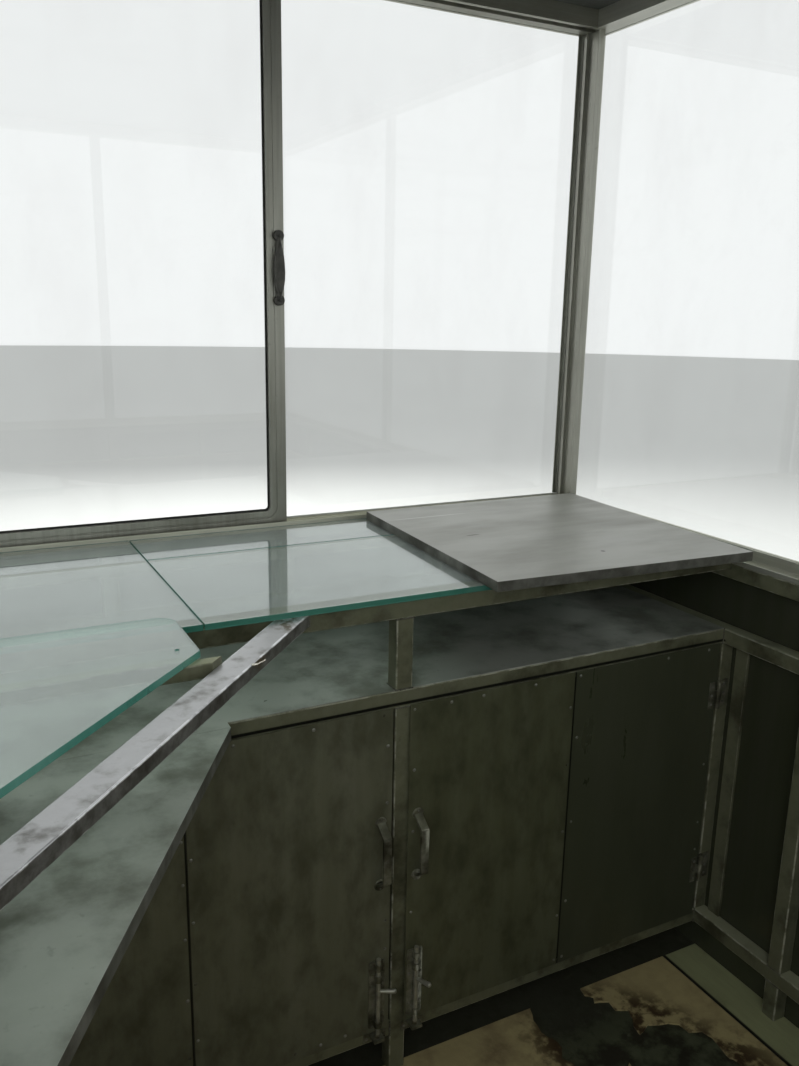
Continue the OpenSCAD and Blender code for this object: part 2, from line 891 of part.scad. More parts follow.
// The half of a hinge that a door carries: a leaf and the middle knuckle with its bore.
module door_leaf() {
    leaf_w = 22;
    for (z = hinge_zs) {
        bar([edge_x - leaf_w, door_y - leaf_t, z - hinge_l / 2], [leaf_w - hinge_r, leaf_t, hinge_l]);
        difference() {
            union() {
                translate([hinge_x, hinge_y, z - third / 2]) cylinder(h = third, r = hinge_r, $fn = 32);
                bar([edge_x - hinge_r - 1, door_y - leaf_t, z - third / 2], [hinge_r + 3, leaf_t, third]);
            }
            translate([hinge_x, hinge_y, z - third]) cylinder(h = 2 * third, r = pin_r + pin_gap, $fn = 32);
        }
    }
}

// The half of a hinge that the frame carries: two knuckles, the pin and the offset leaf.
module frame_leaf() {
    knuckle = third - knuckle_gap;
    leaf_x = hinge_x + hinge_r - 1;
    leaf_end = in_x + 28;
    for (z = hinge_zs) {
        translate([hinge_x, hinge_y, z - hinge_l / 2]) cylinder(h = hinge_l, r = pin_r, $fn = 32);
        for (low = [z - hinge_l / 2, z + hinge_l / 2 - knuckle]) {
            translate([hinge_x, hinge_y, low]) cylinder(h = knuckle, r = hinge_r, $fn = 32);
            bar([hinge_x, hinge_y, low], [hinge_r, face_y - hinge_y, knuckle]);
        }
        bar([leaf_x, face_y - 3, z - hinge_l / 2], [leaf_end - leaf_x, 3, hinge_l]);
    }
}

// Side view of the bow of a pull handle: X points out of the door, Y up along it.
module bow_outline() {
    slant = 24;
    bend_r = 9;
    foot = handle_l / 2 + 3;
    offset(r = bend_r, $fn = 32)
    offset(delta = -bend_r)
    polygon([[-handle_out, -foot - slant], [handle_out, slant - foot], [handle_out, foot - slant],
        [-handle_out, foot + slant]]);
}

// A pull handle: a flat bar bent to a bow, on two round feet.
module pull_handle(x) {
    foot_r = 13;
    foot_t = 3;
    bar_t = 6;
    translate([x, door_y, floor_z + handle_z]) {
        for (s = [-1, 1])
            translate([0, 0, s * handle_l / 2])
            rotate([90, 0, 0])
            cylinder(h = foot_t, r1 = foot_r, r2 = foot_r - 2, $fn = 32);
        translate([-handle_w / 2, 0, 0])
        rotate([90, 0, -90])
        mirror([0, 0, 1])
        linear_extrude(handle_w)
        difference() {
            bow_outline();
            offset(delta = -bar_t) bow_outline();
            translate([-2 * handle_out, -handle_l]) square([2 * handle_out, 2 * handle_l]);
        }
    }
}

// A plate with rounded corners that lies on the face of a door.
module face_plate(x, z, w, h, t) {
    r = 5;
    translate([x - w / 2, door_y, z])
    rotate([90, 0, 0])
    linear_extrude(t)
    offset(r = r, $fn = 20)
    offset(delta = -r)
    square([w, h]);
}

// The plate of a tower bolt with the straps that hold the rod.
module bolt_case(x) {
    plate_h = 2;
    strap_r = bolt_r + 3;
    strap_h = 15;
    strap_foot = [bolt_w - 8, 4];
    difference() {
        union() {
            face_plate(x, bolt_z, bolt_w, bolt_l, plate_h);
            for (z = [7, bolt_l - 46, bolt_l - strap_h - 3])
                translate([x, 0, bolt_z + z])
                linear_extrude(strap_h) {
                    translate([0, bolt_y]) circle(strap_r, $fn = 28);
                    translate([-strap_r, bolt_y]) square([2 * strap_r, bolt_out]);
                    translate([-strap_foot.x / 2, door_y - strap_foot.y]) square(strap_foot);
                }
        }
        translate([x, bolt_y, bolt_z - 1]) cylinder(h = bolt_l + 2, r = bolt_r + pin_gap, $fn = 32);
    }
}

// The rod of a tower bolt with its thumb lever, which is turned out from the face of the door.
module bolt_rod(x, turn) {
    lever_z = bolt_z + 0.58 * bolt_l;
    tip_r = 5.5;
    translate([x, bolt_y, 0]) {
        translate([0, 0, door_bottom]) cylinder(h = bolt_l + 22, r = bolt_r, $fn = 32);
        translate([0, 0, lever_z])
        rotate([0, 90, -turn]) {
            cylinder(h = lever_l - tip_r, r1 = 4, r2 = tip_r, $fn = 24);
            translate([0, 0, lever_l - tip_r]) sphere(r = tip_r, $fn = 24);
        }
    }
}

// The keeper that a bolt drops into: a bored tongue on a flange at the bottom rail.
module keeper(x) {
    keeper_w = 26;
    reach = 12;
    flange = [52, 3, 20];
    top = door_bottom - keeper_drop;
    difference() {
        union() {
            bar([x - keeper_w / 2, bolt_y - reach, top - keeper_t],
                [keeper_w, face_y - bolt_y + reach, keeper_t]);
            bar([x - flange.x / 2, face_y - flange.y, top - flange.z], flange);
        }
        translate([x, bolt_y, top - 2 * keeper_t]) cylinder(h = 3 * keeper_t, r = bolt_r + 1, $fn = 32);
    }
}

module left_fittings() {
    color(dark_steel) {
        mirror([1, 0, 0]) door_leaf();
        pull_handle(5 - left_bolt);
        bolt_case(-left_bolt);
    }
}

module right_fittings() {
    color(dark_steel) {
        door_leaf();
        pull_handle(right_bolt);
        bolt_case(right_bolt);
    }
}

module left_bolt_rod() {
    color(alloy_light) bolt_rod(-left_bolt, 25);
}

module right_bolt_rod() {
    color(alloy_light) bolt_rod(right_bolt, 63);
}

module frame_fittings() {
    color(dark_steel) {
        both_sides() frame_leaf();
        keeper(-left_bolt);
        keeper(right_bolt);
    }
}

corner_posts();
base_runners();
base_joists();
floor_board();
floor_sheet();
floor_strip();
side_rails();
end_rails();
wall_studs();
front_cladding();
right_cladding();
left_cladding();
back_cladding();
front_sill();
front_head();
side_sills();
side_heads();
back_frame();
window_uprights();
door_frame();
front_sash();
sash_glass();
fixed_glass();
sash_lock();
side_glass();
back_glass();
roof_beams();
ceiling();
roof_panel();
counter_rails();
counter_supports();
counter_top();
wing_top();
shelf_frame();
diagonal_tube();
shelf_glass();
corner_glass();
tray_board();
left_door();
right_door();
left_fittings();
right_fittings();
left_bolt_rod();
right_bolt_rod();
frame_fittings();
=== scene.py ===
import json
import math
import random

import bmesh
import bpy
from mathutils import Matrix, Vector


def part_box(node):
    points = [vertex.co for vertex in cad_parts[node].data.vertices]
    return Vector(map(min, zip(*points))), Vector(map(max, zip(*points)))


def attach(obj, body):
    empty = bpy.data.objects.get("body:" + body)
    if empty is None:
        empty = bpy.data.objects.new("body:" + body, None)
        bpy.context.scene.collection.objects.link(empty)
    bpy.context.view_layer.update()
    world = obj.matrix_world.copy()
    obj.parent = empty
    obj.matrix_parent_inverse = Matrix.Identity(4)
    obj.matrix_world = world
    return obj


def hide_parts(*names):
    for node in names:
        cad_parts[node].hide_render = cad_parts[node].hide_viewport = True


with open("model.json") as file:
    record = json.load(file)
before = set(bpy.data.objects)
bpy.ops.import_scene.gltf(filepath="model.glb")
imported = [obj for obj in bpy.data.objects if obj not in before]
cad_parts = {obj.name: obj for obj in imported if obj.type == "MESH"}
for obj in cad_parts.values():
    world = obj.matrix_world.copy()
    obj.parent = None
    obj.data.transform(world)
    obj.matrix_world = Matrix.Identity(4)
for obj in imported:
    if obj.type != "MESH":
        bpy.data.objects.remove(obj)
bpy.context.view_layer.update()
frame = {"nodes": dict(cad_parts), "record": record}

BODY_OF = {
    node: body
    for body, members in frame["record"]["behaviour"]["bodies"].items()
    for node in members
}

# Shapes are in millimetres until a piece is finished, and materials measure in metres.
MM = 0.001
# Points this close are merged, and faces that turn by fewer degrees than this are joined.
MERGE = 0.01
FLAT_TURN = 0.5
# A face stands if its normal rises less than the first, and looks one way above the second.
STANDING, LOOKING = 0.6, 0.5
UP = Vector((0, 0, 1))
FRONT = Vector((0, 1, 0))
RIGHT = Vector((1, 0, 0))
chance = random.Random(27)


# Shapes
def low_high(node):
    """The lowest and highest corner of a CAD node in millimetres."""
    low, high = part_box(node)
    return low / MM, high / MM


def bevelled(bm, edges, radius, segments=2):
    """Rounds the edges and gives the faces that this makes."""
    made = bmesh.ops.bevel(
        bm,
        geom=list(edges),
        offset=radius,
        offset_type="OFFSET",
        segments=segments,
        profile=0.5,
        affect="EDGES",
        material=-1,
        clamp_overlap=True,
    )
    return made["faces"]


def block(bm, low, high, radius):
    """A box from low to high with rounded edges."""
    low, high = Vector(low), Vector(high)
    middle = Matrix.Translation((low + high) / 2)
    size = Matrix.Diagonal((*(high - low), 1))
    made = bmesh.ops.create_cube(bm, size=1, matrix=middle @ size)
    edges = {edge for vert in made["verts"] for edge in vert.link_edges}
    bevelled(bm, edges, radius)


def turned(profile, steps):
    """A mesh turned round Z from (radius, height) points that start and end on the axis."""
    bm = bmesh.new()
    line = [bm.verts.new((radius, 0, height)) for radius, height in profile]
    edges = [bm.edges.new(pair) for pair in zip(line, line[1:])]
    bmesh.ops.spin(
        bm,
        geom=line + edges,
        cent=(0, 0, 0),
        axis=UP,
        angle=math.tau,
        steps=steps,
        use_merge=True,
    )
    bmesh.ops.remove_doubles(bm, verts=bm.verts, dist=MERGE)
    bmesh.ops.recalc_face_normals(bm, faces=bm.faces)
    mesh = bpy.data.meshes.new("turned")
    bm.to_mesh(mesh)
    bm.free()
    return mesh


def facing(at, out):
    """The matrix that puts a turned shape at a point with its axis along out."""
    return Matrix.Translation(at) @ UP.rotation_difference(out).to_matrix().to_4x4()


def stamp(bm, mesh, place):
    """Adds a copy of a mesh to bm at a place."""
    first = len(bm.verts)
    bm.from_mesh(mesh)
    bm.verts.ensure_lookup_table()
    bmesh.ops.transform(bm, matrix=place, verts=bm.verts[first:])


def finished(name, bm, body, material, sharp=40):
    """Turns a bmesh in millimetres into a piece that rides on its body."""
    bmesh.ops.scale(bm, vec=(MM, MM, MM), verts=bm.verts)
    bm.normal_update()
    looks_up = bm.faces.layers.float.new("looks_up")
    for face in bm.faces:
        face[looks_up] = max(0.0, face.normal.z)
    mesh = bpy.data.meshes.new(name)
    bm.to_mesh(mesh)
    bm.free()
    mesh.shade_smooth()
    mesh.set_sharp_from_angle(angle=math.radians(sharp))
    piece = bpy.data.objects.new(name, mesh)
    bpy.context.scene.collection.objects.link(piece)
    materials = material if isinstance(material, list) else [material]
    for each in materials:
        mesh.materials.append(each)
    even = piece.modifiers.new("even_normals", "WEIGHTED_NORMAL")
    even.keep_sharp = True
    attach(piece, body)
    return piece


def merged_copy(node):
    """A CAD node's solids in millimetres, with its loose triangles joined into flat faces."""
    bm = bmesh.new()
    bm.from_mesh(frame["nodes"][node].data)
    bmesh.ops.scale(bm, vec=(1 / MM,) * 3, verts=bm.verts)
    bmesh.ops.remove_doubles(bm, verts=bm.verts, dist=MERGE)
    bmesh.ops.dissolve_limit(
        bm, angle_limit=math.radians(FLAT_TURN), verts=bm.verts, edges=bm.edges
    )
    for face in bm.faces:
        face.material_index = 0
    return bm


def corner_edges(bm, turn):
    """The edges at which the surface turns by more than an angle in degrees."""
    limit = math.radians(turn)
    return [edge for edge in bm.edges if edge.is_manifold and edge.calc_face_angle() > limit]


def face_width(face):
    """The width of a long narrow face."""
    return face.calc_area() / max(edge.calc_length() for edge in face.edges)


def upright(face):
    """Whether a face stands, as the sides of a board do."""
    return abs(face.normal.z) < STANDING


def eased(node, material, radius, segments=2, turn=25, rounding=0.0, second=None):
    """A copy of a CAD node with its corner edges rounded and marked for wear and painted
    highlight.

    Faces narrower than rounding belong to a rounding that the node has already. A face for which
    second is true gets the second material.
    """
    bm = merged_copy(node)
    if second:
        for face in bm.faces:
            face.material_index = 1 if second(face) else 0
    made = bevelled(bm, corner_edges(bm, turn), radius, segments)
    worn_and_lit = bm.faces.layers.float.new("worn_and_lit_edge")
    for face in made:
        if face.is_valid:
            face[worn_and_lit] = 1.0
    if rounding:
        for face in bm.faces:
            if face_width(face) < rounding:
                face[worn_and_lit] = 1.0
    piece = finished(node + "_eased", bm, BODY_OF[node], material)
    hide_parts(node)


# Shader nodes
VECTOR, NUMBER = "NodeSocketVector", "NodeSocketFloat"
# The colour sockets of a Mix node share their names with others, so they go by number.
MIX_FIRST, MIX_SECOND, MIX_RESULT = 6, 7, 2


def feed(tree, value, socket):
    """Links a value that is a socket to a socket, or sets the socket to any other value."""
    if isinstance(value, bpy.types.NodeSocket):
        tree.links.new(value, socket)
    else:
        socket.default_value = value


def add(tree, kind, settings=None, **inputs):
    """Adds a node with its settings, and with inputs whose names have _ for a space."""
    made = tree.nodes.new(kind)
    for name, value in (settings or {}).items():
        setattr(made, name, value)
    for name, value in inputs.items():
        feed(tree, value, made.inputs[name.replace("_", " ")])
    return made


def worked_out(tree, kind, operation, values):
    """The outputs of a maths node of one kind on values or sockets."""
    made = add(tree, kind, {"operation": operation})
    for value, socket in zip(values, made.inputs):
        feed(tree, value, socket)
    return made.outputs


def maths(tree, operation, *values):
    """The result of a maths node on two or three values or sockets."""
    return worked_out(tree, "ShaderNodeMath", operation, values)[0]


def vector_maths(tree, operation, *values):
    """The outputs, Vector and Value, of a vector maths node on values or sockets."""
    return worked_out(tree, "ShaderNodeVectorMath", operation, values)


def blended(tree, amount, first, second):
    """Mixes two colours by an amount."""
    made = add(tree, "ShaderNodeMix", {"data_type": "RGBA"}, Factor=amount)
    feed(tree, first, made.inputs[MIX_FIRST])
    feed(tree, second, made.inputs[MIX_SECOND])
    return made.outputs[MIX_RESULT]


def ranged(tree, value, low, high):
    """A value brought smoothly to 0 at low and 1 at high."""
    smooth = {"interpolation_type": "SMOOTHSTEP"}
    made = add(tree, "ShaderNodeMapRange", smooth, Value=value, From_Min=low, From_Max=high)
    return made.outputs["Result"]


def either_shader(tree, amount, first, second, output):
    """Shows one shader where an amount is 0 and another where it is 1."""
    made = tree.nodes.new("ShaderNodeMixShader")
    for source, socket in zip((amount, first, second), made.inputs):
        tree.links.new(source, socket)
    tree.links.new(made.outputs[0], output.inputs["Surface"])


# Shader groups, each of which gives a mask
def group(name, **inputs):
    """An empty shader group with its inputs and a mask as its output, and its two end nodes."""
    tree = bpy.data.node_groups.new(name, "ShaderNodeTree")
    for label, kind in inputs.items():
        tree.interface.new_socket(label, in_out="INPUT", socket_type=kind)
    tree.interface.new_socket("Mask", in_out="OUTPUT", socket_type=NUMBER)
    return tree, tree.nodes.new("NodeGroupInput"), tree.nodes.new("NodeGroupOutput")


def mask_of(tree, source, **inputs):
    """The mask of one use of a shader group."""
    return add(tree, "ShaderNodeGroup", {"node_tree": source}, **inputs).outputs["Mask"]


def noise_group():
    """Noise on stretched coordinates, turned into a mask between two levels."""
    tree, start, end = group(
        "stretched_noise", Place=VECTOR, Stretch=VECTOR, Low=NUMBER, High=NUMBER
    )
    given = start.outputs
    stretched = vector_maths(tree, "MULTIPLY", given["Place"], given["Stretch"])["Vector"]
    noise = add(
        tree, "ShaderNodeTexNoise", Vector=stretched, Scale=1.0, Detail=6.0, Roughness=0.6
    )
    mask = ranged(tree, noise.outputs["Fac"], given["Low"], given["High"])
    tree.links.new(mask, end.inputs["Mask"])
    return tree


NOISE = noise_group()


def noise_mask(tree, place, stretch, low, high):
    """The mask of the stretched noise between two levels."""
    return mask_of(tree, NOISE, Place=place, Stretch=stretch, Low=low, High=high)


def in_amount(tree, start, end, where, patchy):
    """Feeds the end of a group with where times patchy times the group's amount."""
    both = maths(tree, "MULTIPLY", where, patchy)
    tree.links.new(maths(tree, "MULTIPLY", both, start.outputs["Amount"]), end.inputs["Mask"])


def wear_and_highlight_group():
    """Where rounded edges are rubbed bare and painted as highlights: the marked edge faces,
    broken up by noise.
    """
    tree, start, end = group("rubbed_and_lit_edges", Place=VECTOR, Amount=NUMBER)
    edge = add(tree, "ShaderNodeAttribute", {"attribute_name": "worn_and_lit_edge"})
    broken = noise_mask(tree, start.outputs["Place"], (30, 30, 30), 0.40, 0.62)
    in_amount(tree, start, end, edge.outputs["Fac"], broken)
    return tree


def dust_and_light_group():
    """Where dust settles, also painted light: faces that look up, more in some places than in
    others.
    """
    tree, start, end = group("settled_dust_and_light", Place=VECTOR, Amount=NUMBER)
    lie = add(tree, "ShaderNodeAttribute", {"attribute_name": "looks_up"})
    upward = ranged(tree, lie.outputs["Fac"], 0.55, 0.95)
    patchy = noise_mask(tree, start.outputs["Place"], (11, 11, 11), 0.12, 0.55)
    in_amount(tree, start, end, upward, patchy)
    return tree


def low_darkening_group():
    """Darker towards the floor, more in some places than in others."""
    tree, start, end = group("darker_near_floor", Place=VECTOR, Amount=NUMBER)
    split = add(tree, "ShaderNodeSeparateXYZ", Vector=start.outputs["Place"])
    near = ranged(tree, split.outputs["Z"], 0.85, 0.08)
    patchy = noise_mask(tree, start.outputs["Place"], (7, 7, 3), 0.22, 0.62)
    in_amount(tree, start, end, near, patchy)
    return tree


RUBBED_AND_HIGHLIT = wear_and_highlight_group()
DUST_AND_TOP_LIGHT = dust_and_light_group()
LOW_DARKENING = low_darkening_group()


# Kinds of material
# The tone of dust, which also paints faces that look up lighter, as light.
DUST_AND_LIGHT_TONE = (0.36, 0.37, 0.25, 1)
# How strongly specks show on metal, and how much its drawn lines dull it and stand out.
SPECKS, LINE_DULL, LINE_DEPTH = 0.35, 0.06, 0.03
# How finely the dents of a metal vary, as a share of how finely its grime does.
DENT_SHARE = 0.8
# How strongly wiped streaks show on glass.
STREAKS = 0.6
# How strongly the grain of a board shows, how dark it is, how much stains dull and its depth.
GRAIN, GRAIN_SHADE, STAIN_DULL, GRAIN_DEPTH = 0.5, 0.8, 0.25, 0.0004


def blank(name):
    """A new material with its tree, its Principled shader and its object coordinates."""
    made = bpy.data.materials.new(name)
    made.use_nodes = True
    tree = made.node_tree
    place = add(tree, "ShaderNodeTexCoord").outputs["Object"]
    return made, tree, tree.nodes["Principled BSDF"], place


def bump(tree, shader, height, depth):
    """Feeds a height to a shader's normal, with its depth in metres."""
    made = add(tree, "ShaderNodeBump", Height=height, Distance=depth, Strength=1.0)
    tree.links.new(made.outputs["Normal"], shader.inputs["Normal"])


def mark(centre, size, tone, ragged=0):
    """An oval mark in metres: its centre, its half sizes, its tone and how ragged it is."""
    return centre, size, tone, ragged


def marked(tree, place, shade, marks):
    """Draws marks on a colour, whole or broken up by noise."""
    for centre, size, tone, ragged in marks:
        moved = vector_maths(tree, "SUBTRACT", place, centre)["Vector"]
        scaled = vector_maths(tree, "DIVIDE", moved, size)["Vector"]
        away = vector_maths(tree, "LENGTH", scaled)["Value"]
        mask = ranged(tree, away, 1.0, 0.45)
        if ragged:
            broken = noise_mask(tree, place, (ragged, ragged, ragged), 0.42, 0.60)
            mask = maths(tree, "MULTIPLY", mask, broken)
        shade = blended(tree, mask, shade, (*tone, 1))
    return shade


def metal(name, clean, dirt, bare, metallic, smooth, rough, lines, dirt_at=(0.45, 0.66),
          patch=(5, 5, 5), rub_and_highlight=0.8, dents=0.0004, dust=0.0, darken_low=0.0, drawn_by=0.25, marks=()):
    """Worn metal: drawn lines, patches of grime, dust that is also painted top light, edges
    rubbed bare and painted as highlights, and shallow dents.

    clean, dirt and bare are tones, smooth and rough the roughness of clean and of soiled metal.
    lines and patch say how fine the drawn lines and the grime are, dirt_at between which levels
    of noise the grime lies, and drawn_by how strongly the lines show. rub_and_highlight, dust and
    darken_low are amounts of edges rubbed bare and painted as highlights, of dust that also
    paints faces that look up lighter as light, and of darkening towards the floor. dents is a
    depth in metres.
    """
    made, tree, shader, place = blank(name)
    drawn = noise_mask(tree, place, lines, 0.30, 0.70)
    grime = noise_mask(tree, place, patch, *dirt_at)
    specks = noise_mask(tree, place, (60, 60, 60), 0.60, 0.75)
    grime_and_darkening = maths(tree, "MAXIMUM", grime, maths(tree, "MULTIPLY", specks, SPECKS))
    if darken_low:
        darkened_low = mask_of(tree, LOW_DARKENING, Place=place, Amount=darken_low)
        grime_and_darkening = maths(tree, "MAXIMUM", grime_and_darkening, darkened_low)
    bare_and_highlit = mask_of(tree, RUBBED_AND_HIGHLIT, Place=place, Amount=rub_and_highlight)
    shade = blended(tree, maths(tree, "MULTIPLY", drawn, drawn_by), (*clean, 1), (*bare, 1))
    shade = blended(tree, grime_and_darkening, shade, (*dirt, 1))
    shade = blended(tree, bare_and_highlit, shade, (*bare, 1))
    if dust:
        settled_and_lit = mask_of(tree, DUST_AND_TOP_LIGHT, Place=place, Amount=dust)
        shade = blended(tree, settled_and_lit, shade, DUST_AND_LIGHT_TONE)
        grime_and_darkening = maths(tree, "MAXIMUM", grime_and_darkening, settled_and_lit)
    shade = marked(tree, place, shade, marks)
    tree.links.new(shade, shader.inputs["Base Color"])
    dull = maths(tree, "MULTIPLY_ADD", grime_and_darkening, rough - smooth, smooth)
    dull = maths(tree, "ADD", dull, maths(tree, "MULTIPLY", drawn, LINE_DULL))
    tree.links.new(dull, shader.inputs["Roughness"])
    shader.inputs["Metallic"].default_value = metallic
    swell = noise_mask(tree, place, tuple(DENT_SHARE * fine for fine in patch), 0.2, 0.8)
    height = maths(tree, "ADD", swell, maths(tree, "MULTIPLY", drawn, LINE_DEPTH))
    bump(tree, shader, height, dents)
    return made


def glass(name, tint, lit, transmission, smooth, smear, haze):
    """Glass that lamps shine through, with a thin uneven film of dust.

    tint and smear are the tones of clean glass and of the film, lit the tone of the light that
    passes, and haze is how much rougher than smooth the film is.
    """
    made, tree, shader, place = blank(name)
    dust = noise_mask(tree, place, (5, 5, 2.5), 0.40, 0.80)
    wiped = noise_mask(tree, place, (2, 14, 14), 0.42, 0.85)
    film = maths(tree, "MAXIMUM", dust, maths(tree, "MULTIPLY", wiped, STREAKS))
    shade = blended(tree, film, (*tint, 1), (*smear, 1))
    tree.links.new(shade, shader.inputs["Base Color"])
    dull = maths(tree, "MULTIPLY_ADD", film, haze, smooth)
    tree.links.new(dull, shader.inputs["Roughness"])
    shader.inputs["Metallic"].default_value = 0.0
    shader.inputs["Transmission Weight"].default_value = transmission
    shader.inputs["IOR"].default_value = 1.5
    clear = add(tree, "ShaderNodeBsdfTransparent", Color=(*lit, 1))
    path = add(tree, "ShaderNodeLightPath")
    either_shader(
        tree,
        path.outputs["Is Shadow Ray"],
        shader.outputs[0],
        clear.outputs[0],
        tree.nodes["Material Output"],
    )
    return made


def board(name, plain, stain, smooth, stretch, stain_at=(0.5, 0.7), grain=(30, 30, 30), marks=()):
    """A matt board or sheet: a plain colour with grain, blotches of dirt and stained spots.

    stretch and grain say how fine the blotches and the grain are, and stain_at between which
    levels of noise the blotches lie.
    """
    made, tree, shader, place = blank(name)
    streaks = noise_mask(tree, place, grain, 0.35, 0.65)
    blotch = noise_mask(tree, place, stretch, *stain_at)
    dark = tuple(GRAIN_SHADE * part for part in plain)
    shade = blended(tree, maths(tree, "MULTIPLY", streaks, GRAIN), (*plain, 1), (*dark, 1))
    shade = blended(tree, blotch, shade, (*stain, 1))
    shade = marked(tree, place, shade, marks)
    tree.links.new(shade, shader.inputs["Base Color"])
    dull = maths(tree, "MULTIPLY_ADD", blotch, STAIN_DULL, smooth)
    tree.links.new(dull, shader.inputs["Roughness"])
    bump(tree, shader, maths(tree, "ADD", streaks, blotch), GRAIN_DEPTH)
    return made


# Finishes
# The seams at which the two sheets of each door overlap.
RIGHT_SEAM, LEFT_SEAM = 431, -456
# Drawn lines that run along one axis.
ALONG_X, ALONG_Y, ALONG_Z = (3, 90, 90), (90, 3, 90), (90, 90, 3)

# A painted shadow in the gap between the doors and the rail over them.
DOOR_TOP_SHADOW = [
    mark(centre=(0.0, 0.538, 0.9595), size=(3.0, 0.012, 0.0045), tone=(0.006, 0.006, 0.004))
]
# The rail steel: its strong dust also paints the tops lighter, as light.
tube_steel = metal(
    "tube_steel", clean=(0.175, 0.181, 0.113), dirt=(0.060, 0.060, 0.034),
    bare=(0.56, 0.56, 0.46), metallic=0.35, smooth=0.38, rough=0.62, lines=(45, 45, 45),
    dirt_at=(0.40, 0.70), patch=(8, 8, 8), rub_and_highlight=0.60, dents=0.0003, dust=0.95, darken_low=0.3,
    drawn_by=0.07, marks=DOOR_TOP_SHADOW,
)
# The upright sides of the slanting tube: its metal painted darker, as shade, with a rust stain
# round the old weld scar.
tube_painted_shade = metal(
    "tube_painted_shade", clean=(0.075, 0.072, 0.060), dirt=(0.040, 0.036, 0.027),
    bare=(0.60, 0.60, 0.58), metallic=0.40, smooth=0.38, rough=0.60, lines=(45, 45, 45),
    dirt_at=(0.42, 0.70), patch=(10, 10, 10), rub_and_highlight=0.9, dents=0.0002,
    marks=[mark((-0.360, 0.364, 1.172), (0.026, 0.026, 0.016), (0.10, 0.072, 0.034), ragged=70)],
)
base_steel = metal(
    "base_steel", clean=(0.085, 0.088, 0.078), dirt=(0.050, 0.045, 0.032),
    bare=(0.20, 0.20, 0.18), metallic=0.30, smooth=0.45, rough=0.70, lines=(50, 50, 50),
)
alloy_upright = metal(
    "alloy_upright", clean=(0.36, 0.36, 0.31), dirt=(0.18, 0.18, 0.14), bare=(0.74, 0.74, 0.68),
    metallic=0.70, smooth=0.34, rough=0.52, lines=ALONG_Z, dirt_at=(0.45, 0.80),
    patch=(3, 3, 1.2), dents=0.0001,
)
# The sills and the back frame: alloy painted lighter, as the highlight on their shining ridges.
alloy_cross_highlit = metal(
    "alloy_cross_highlit", clean=(0.63, 0.63, 0.52), dirt=(0.34, 0.34, 0.255), bare=(0.84, 0.84, 0.76),
    metallic=0.65, smooth=0.32, rough=0.52, lines=ALONG_X, dirt_at=(0.45, 0.80),
    patch=(1.2, 3, 3), rub_and_highlight=1.5, dents=0.0001, dust=0.5,
)
alloy_side = metal(
    "alloy_side", clean=(0.48, 0.48, 0.42), dirt=(0.27, 0.27, 0.215), bare=(0.84, 0.84, 0.78),
    metallic=0.65, smooth=0.30, rough=0.50, lines=ALONG_Y, dirt_at=(0.45, 0.80),
    patch=(3, 1.2, 3), rub_and_highlight=1.4, dents=0.0001, dust=0.5,
)
alloy_head = metal(
    "alloy_head", clean=(0.27, 0.27, 0.22), dirt=(0.15, 0.15, 0.11), bare=(0.60, 0.60, 0.53),
    metallic=0.65, smooth=0.36, rough=0.55, lines=ALONG_X, dirt_at=(0.45, 0.80),
    patch=(1.2, 3, 3), rub_and_highlight=1.0, dents=0.0001,
)
bright_alloy = metal(
    "bright_alloy", clean=(0.46, 0.46, 0.465), dirt=(0.26, 0.255, 0.24), bare=(0.86, 0.86, 0.87),
    metallic=0.65, smooth=0.28, rough=0.44, lines=(40, 40, 40), dirt_at=(0.50, 0.74),
    patch=(22, 22, 22), rub_and_highlight=1.6, dents=0.0002, drawn_by=0.12,
    marks=[mark((-0.245, 0.495, 1.18), (0.060, 0.060, 0.03), (0.10, 0.082, 0.045), ragged=60)],
)
# The dark joints of the door sheets: dirt and painted shade along their laps.
DOOR_JOINT_DIRT_AND_SHADE = [
    mark((MM * seam, 0.53, 0.58), (0.0034, 1.0, 2.0), (0.008, 0.008, 0.006))
    for seam in (RIGHT_SEAM, LEFT_SEAM)
]
door_steel = metal(
    "door_steel", clean=(0.140, 0.144, 0.095), dirt=(0.082, 0.084, 0.051),
    bare=(0.28, 0.28, 0.21), metallic=0.25, smooth=0.34, rough=0.52, lines=(26, 26, 2.4),
    dirt_at=(0.34, 0.74), patch=(15, 15, 8), rub_and_highlight=0.2, dents=0.0005, darken_low=0.3, drawn_by=0.24,
    marks=DOOR_JOINT_DIRT_AND_SHADE,
)
# The right door: the door steel painted darker, as shade, and its right-hand sheet darker still.
door_shaded = metal(
    "door_shaded", clean=(0.098, 0.104, 0.058), dirt=(0.058, 0.061, 0.033), bare=(0.21, 0.215, 0.15),
    metallic=0.25, smooth=0.32, rough=0.50, lines=(26, 26, 2.4), dirt_at=(0.34, 0.74),
    patch=(15, 15, 8), rub_and_highlight=0.2, dents=0.0005, darken_low=0.3, drawn_by=0.22, marks=DOOR_JOINT_DIRT_AND_SHADE,
)
door_darkest_shade = metal(
    "door_darkest_shade", clean=(0.072, 0.079, 0.048), dirt=(0.047, 0.051, 0.030),
    bare=(0.14, 0.145, 0.110), metallic=0.30, smooth=0.26, rough=0.46, lines=(22, 22, 1.6),
    dirt_at=(0.34, 0.80), patch=(3, 3, 1.0), rub_and_highlight=0.2, dents=0.0005, darken_low=0.6, drawn_by=0.12,
    marks=DOOR_JOINT_DIRT_AND_SHADE,
)
panel_steel = metal(
    "panel_steel", clean=(0.034, 0.038, 0.021), dirt=(0.050, 0.052, 0.032),
    bare=(0.06, 0.06, 0.05), metallic=0.0, smooth=0.13, rough=0.30, lines=(20, 20, 1.5),
    dirt_at=(0.48, 0.85), patch=(3, 3, 1.2), rub_and_highlight=0.5, dents=0.0008,
)
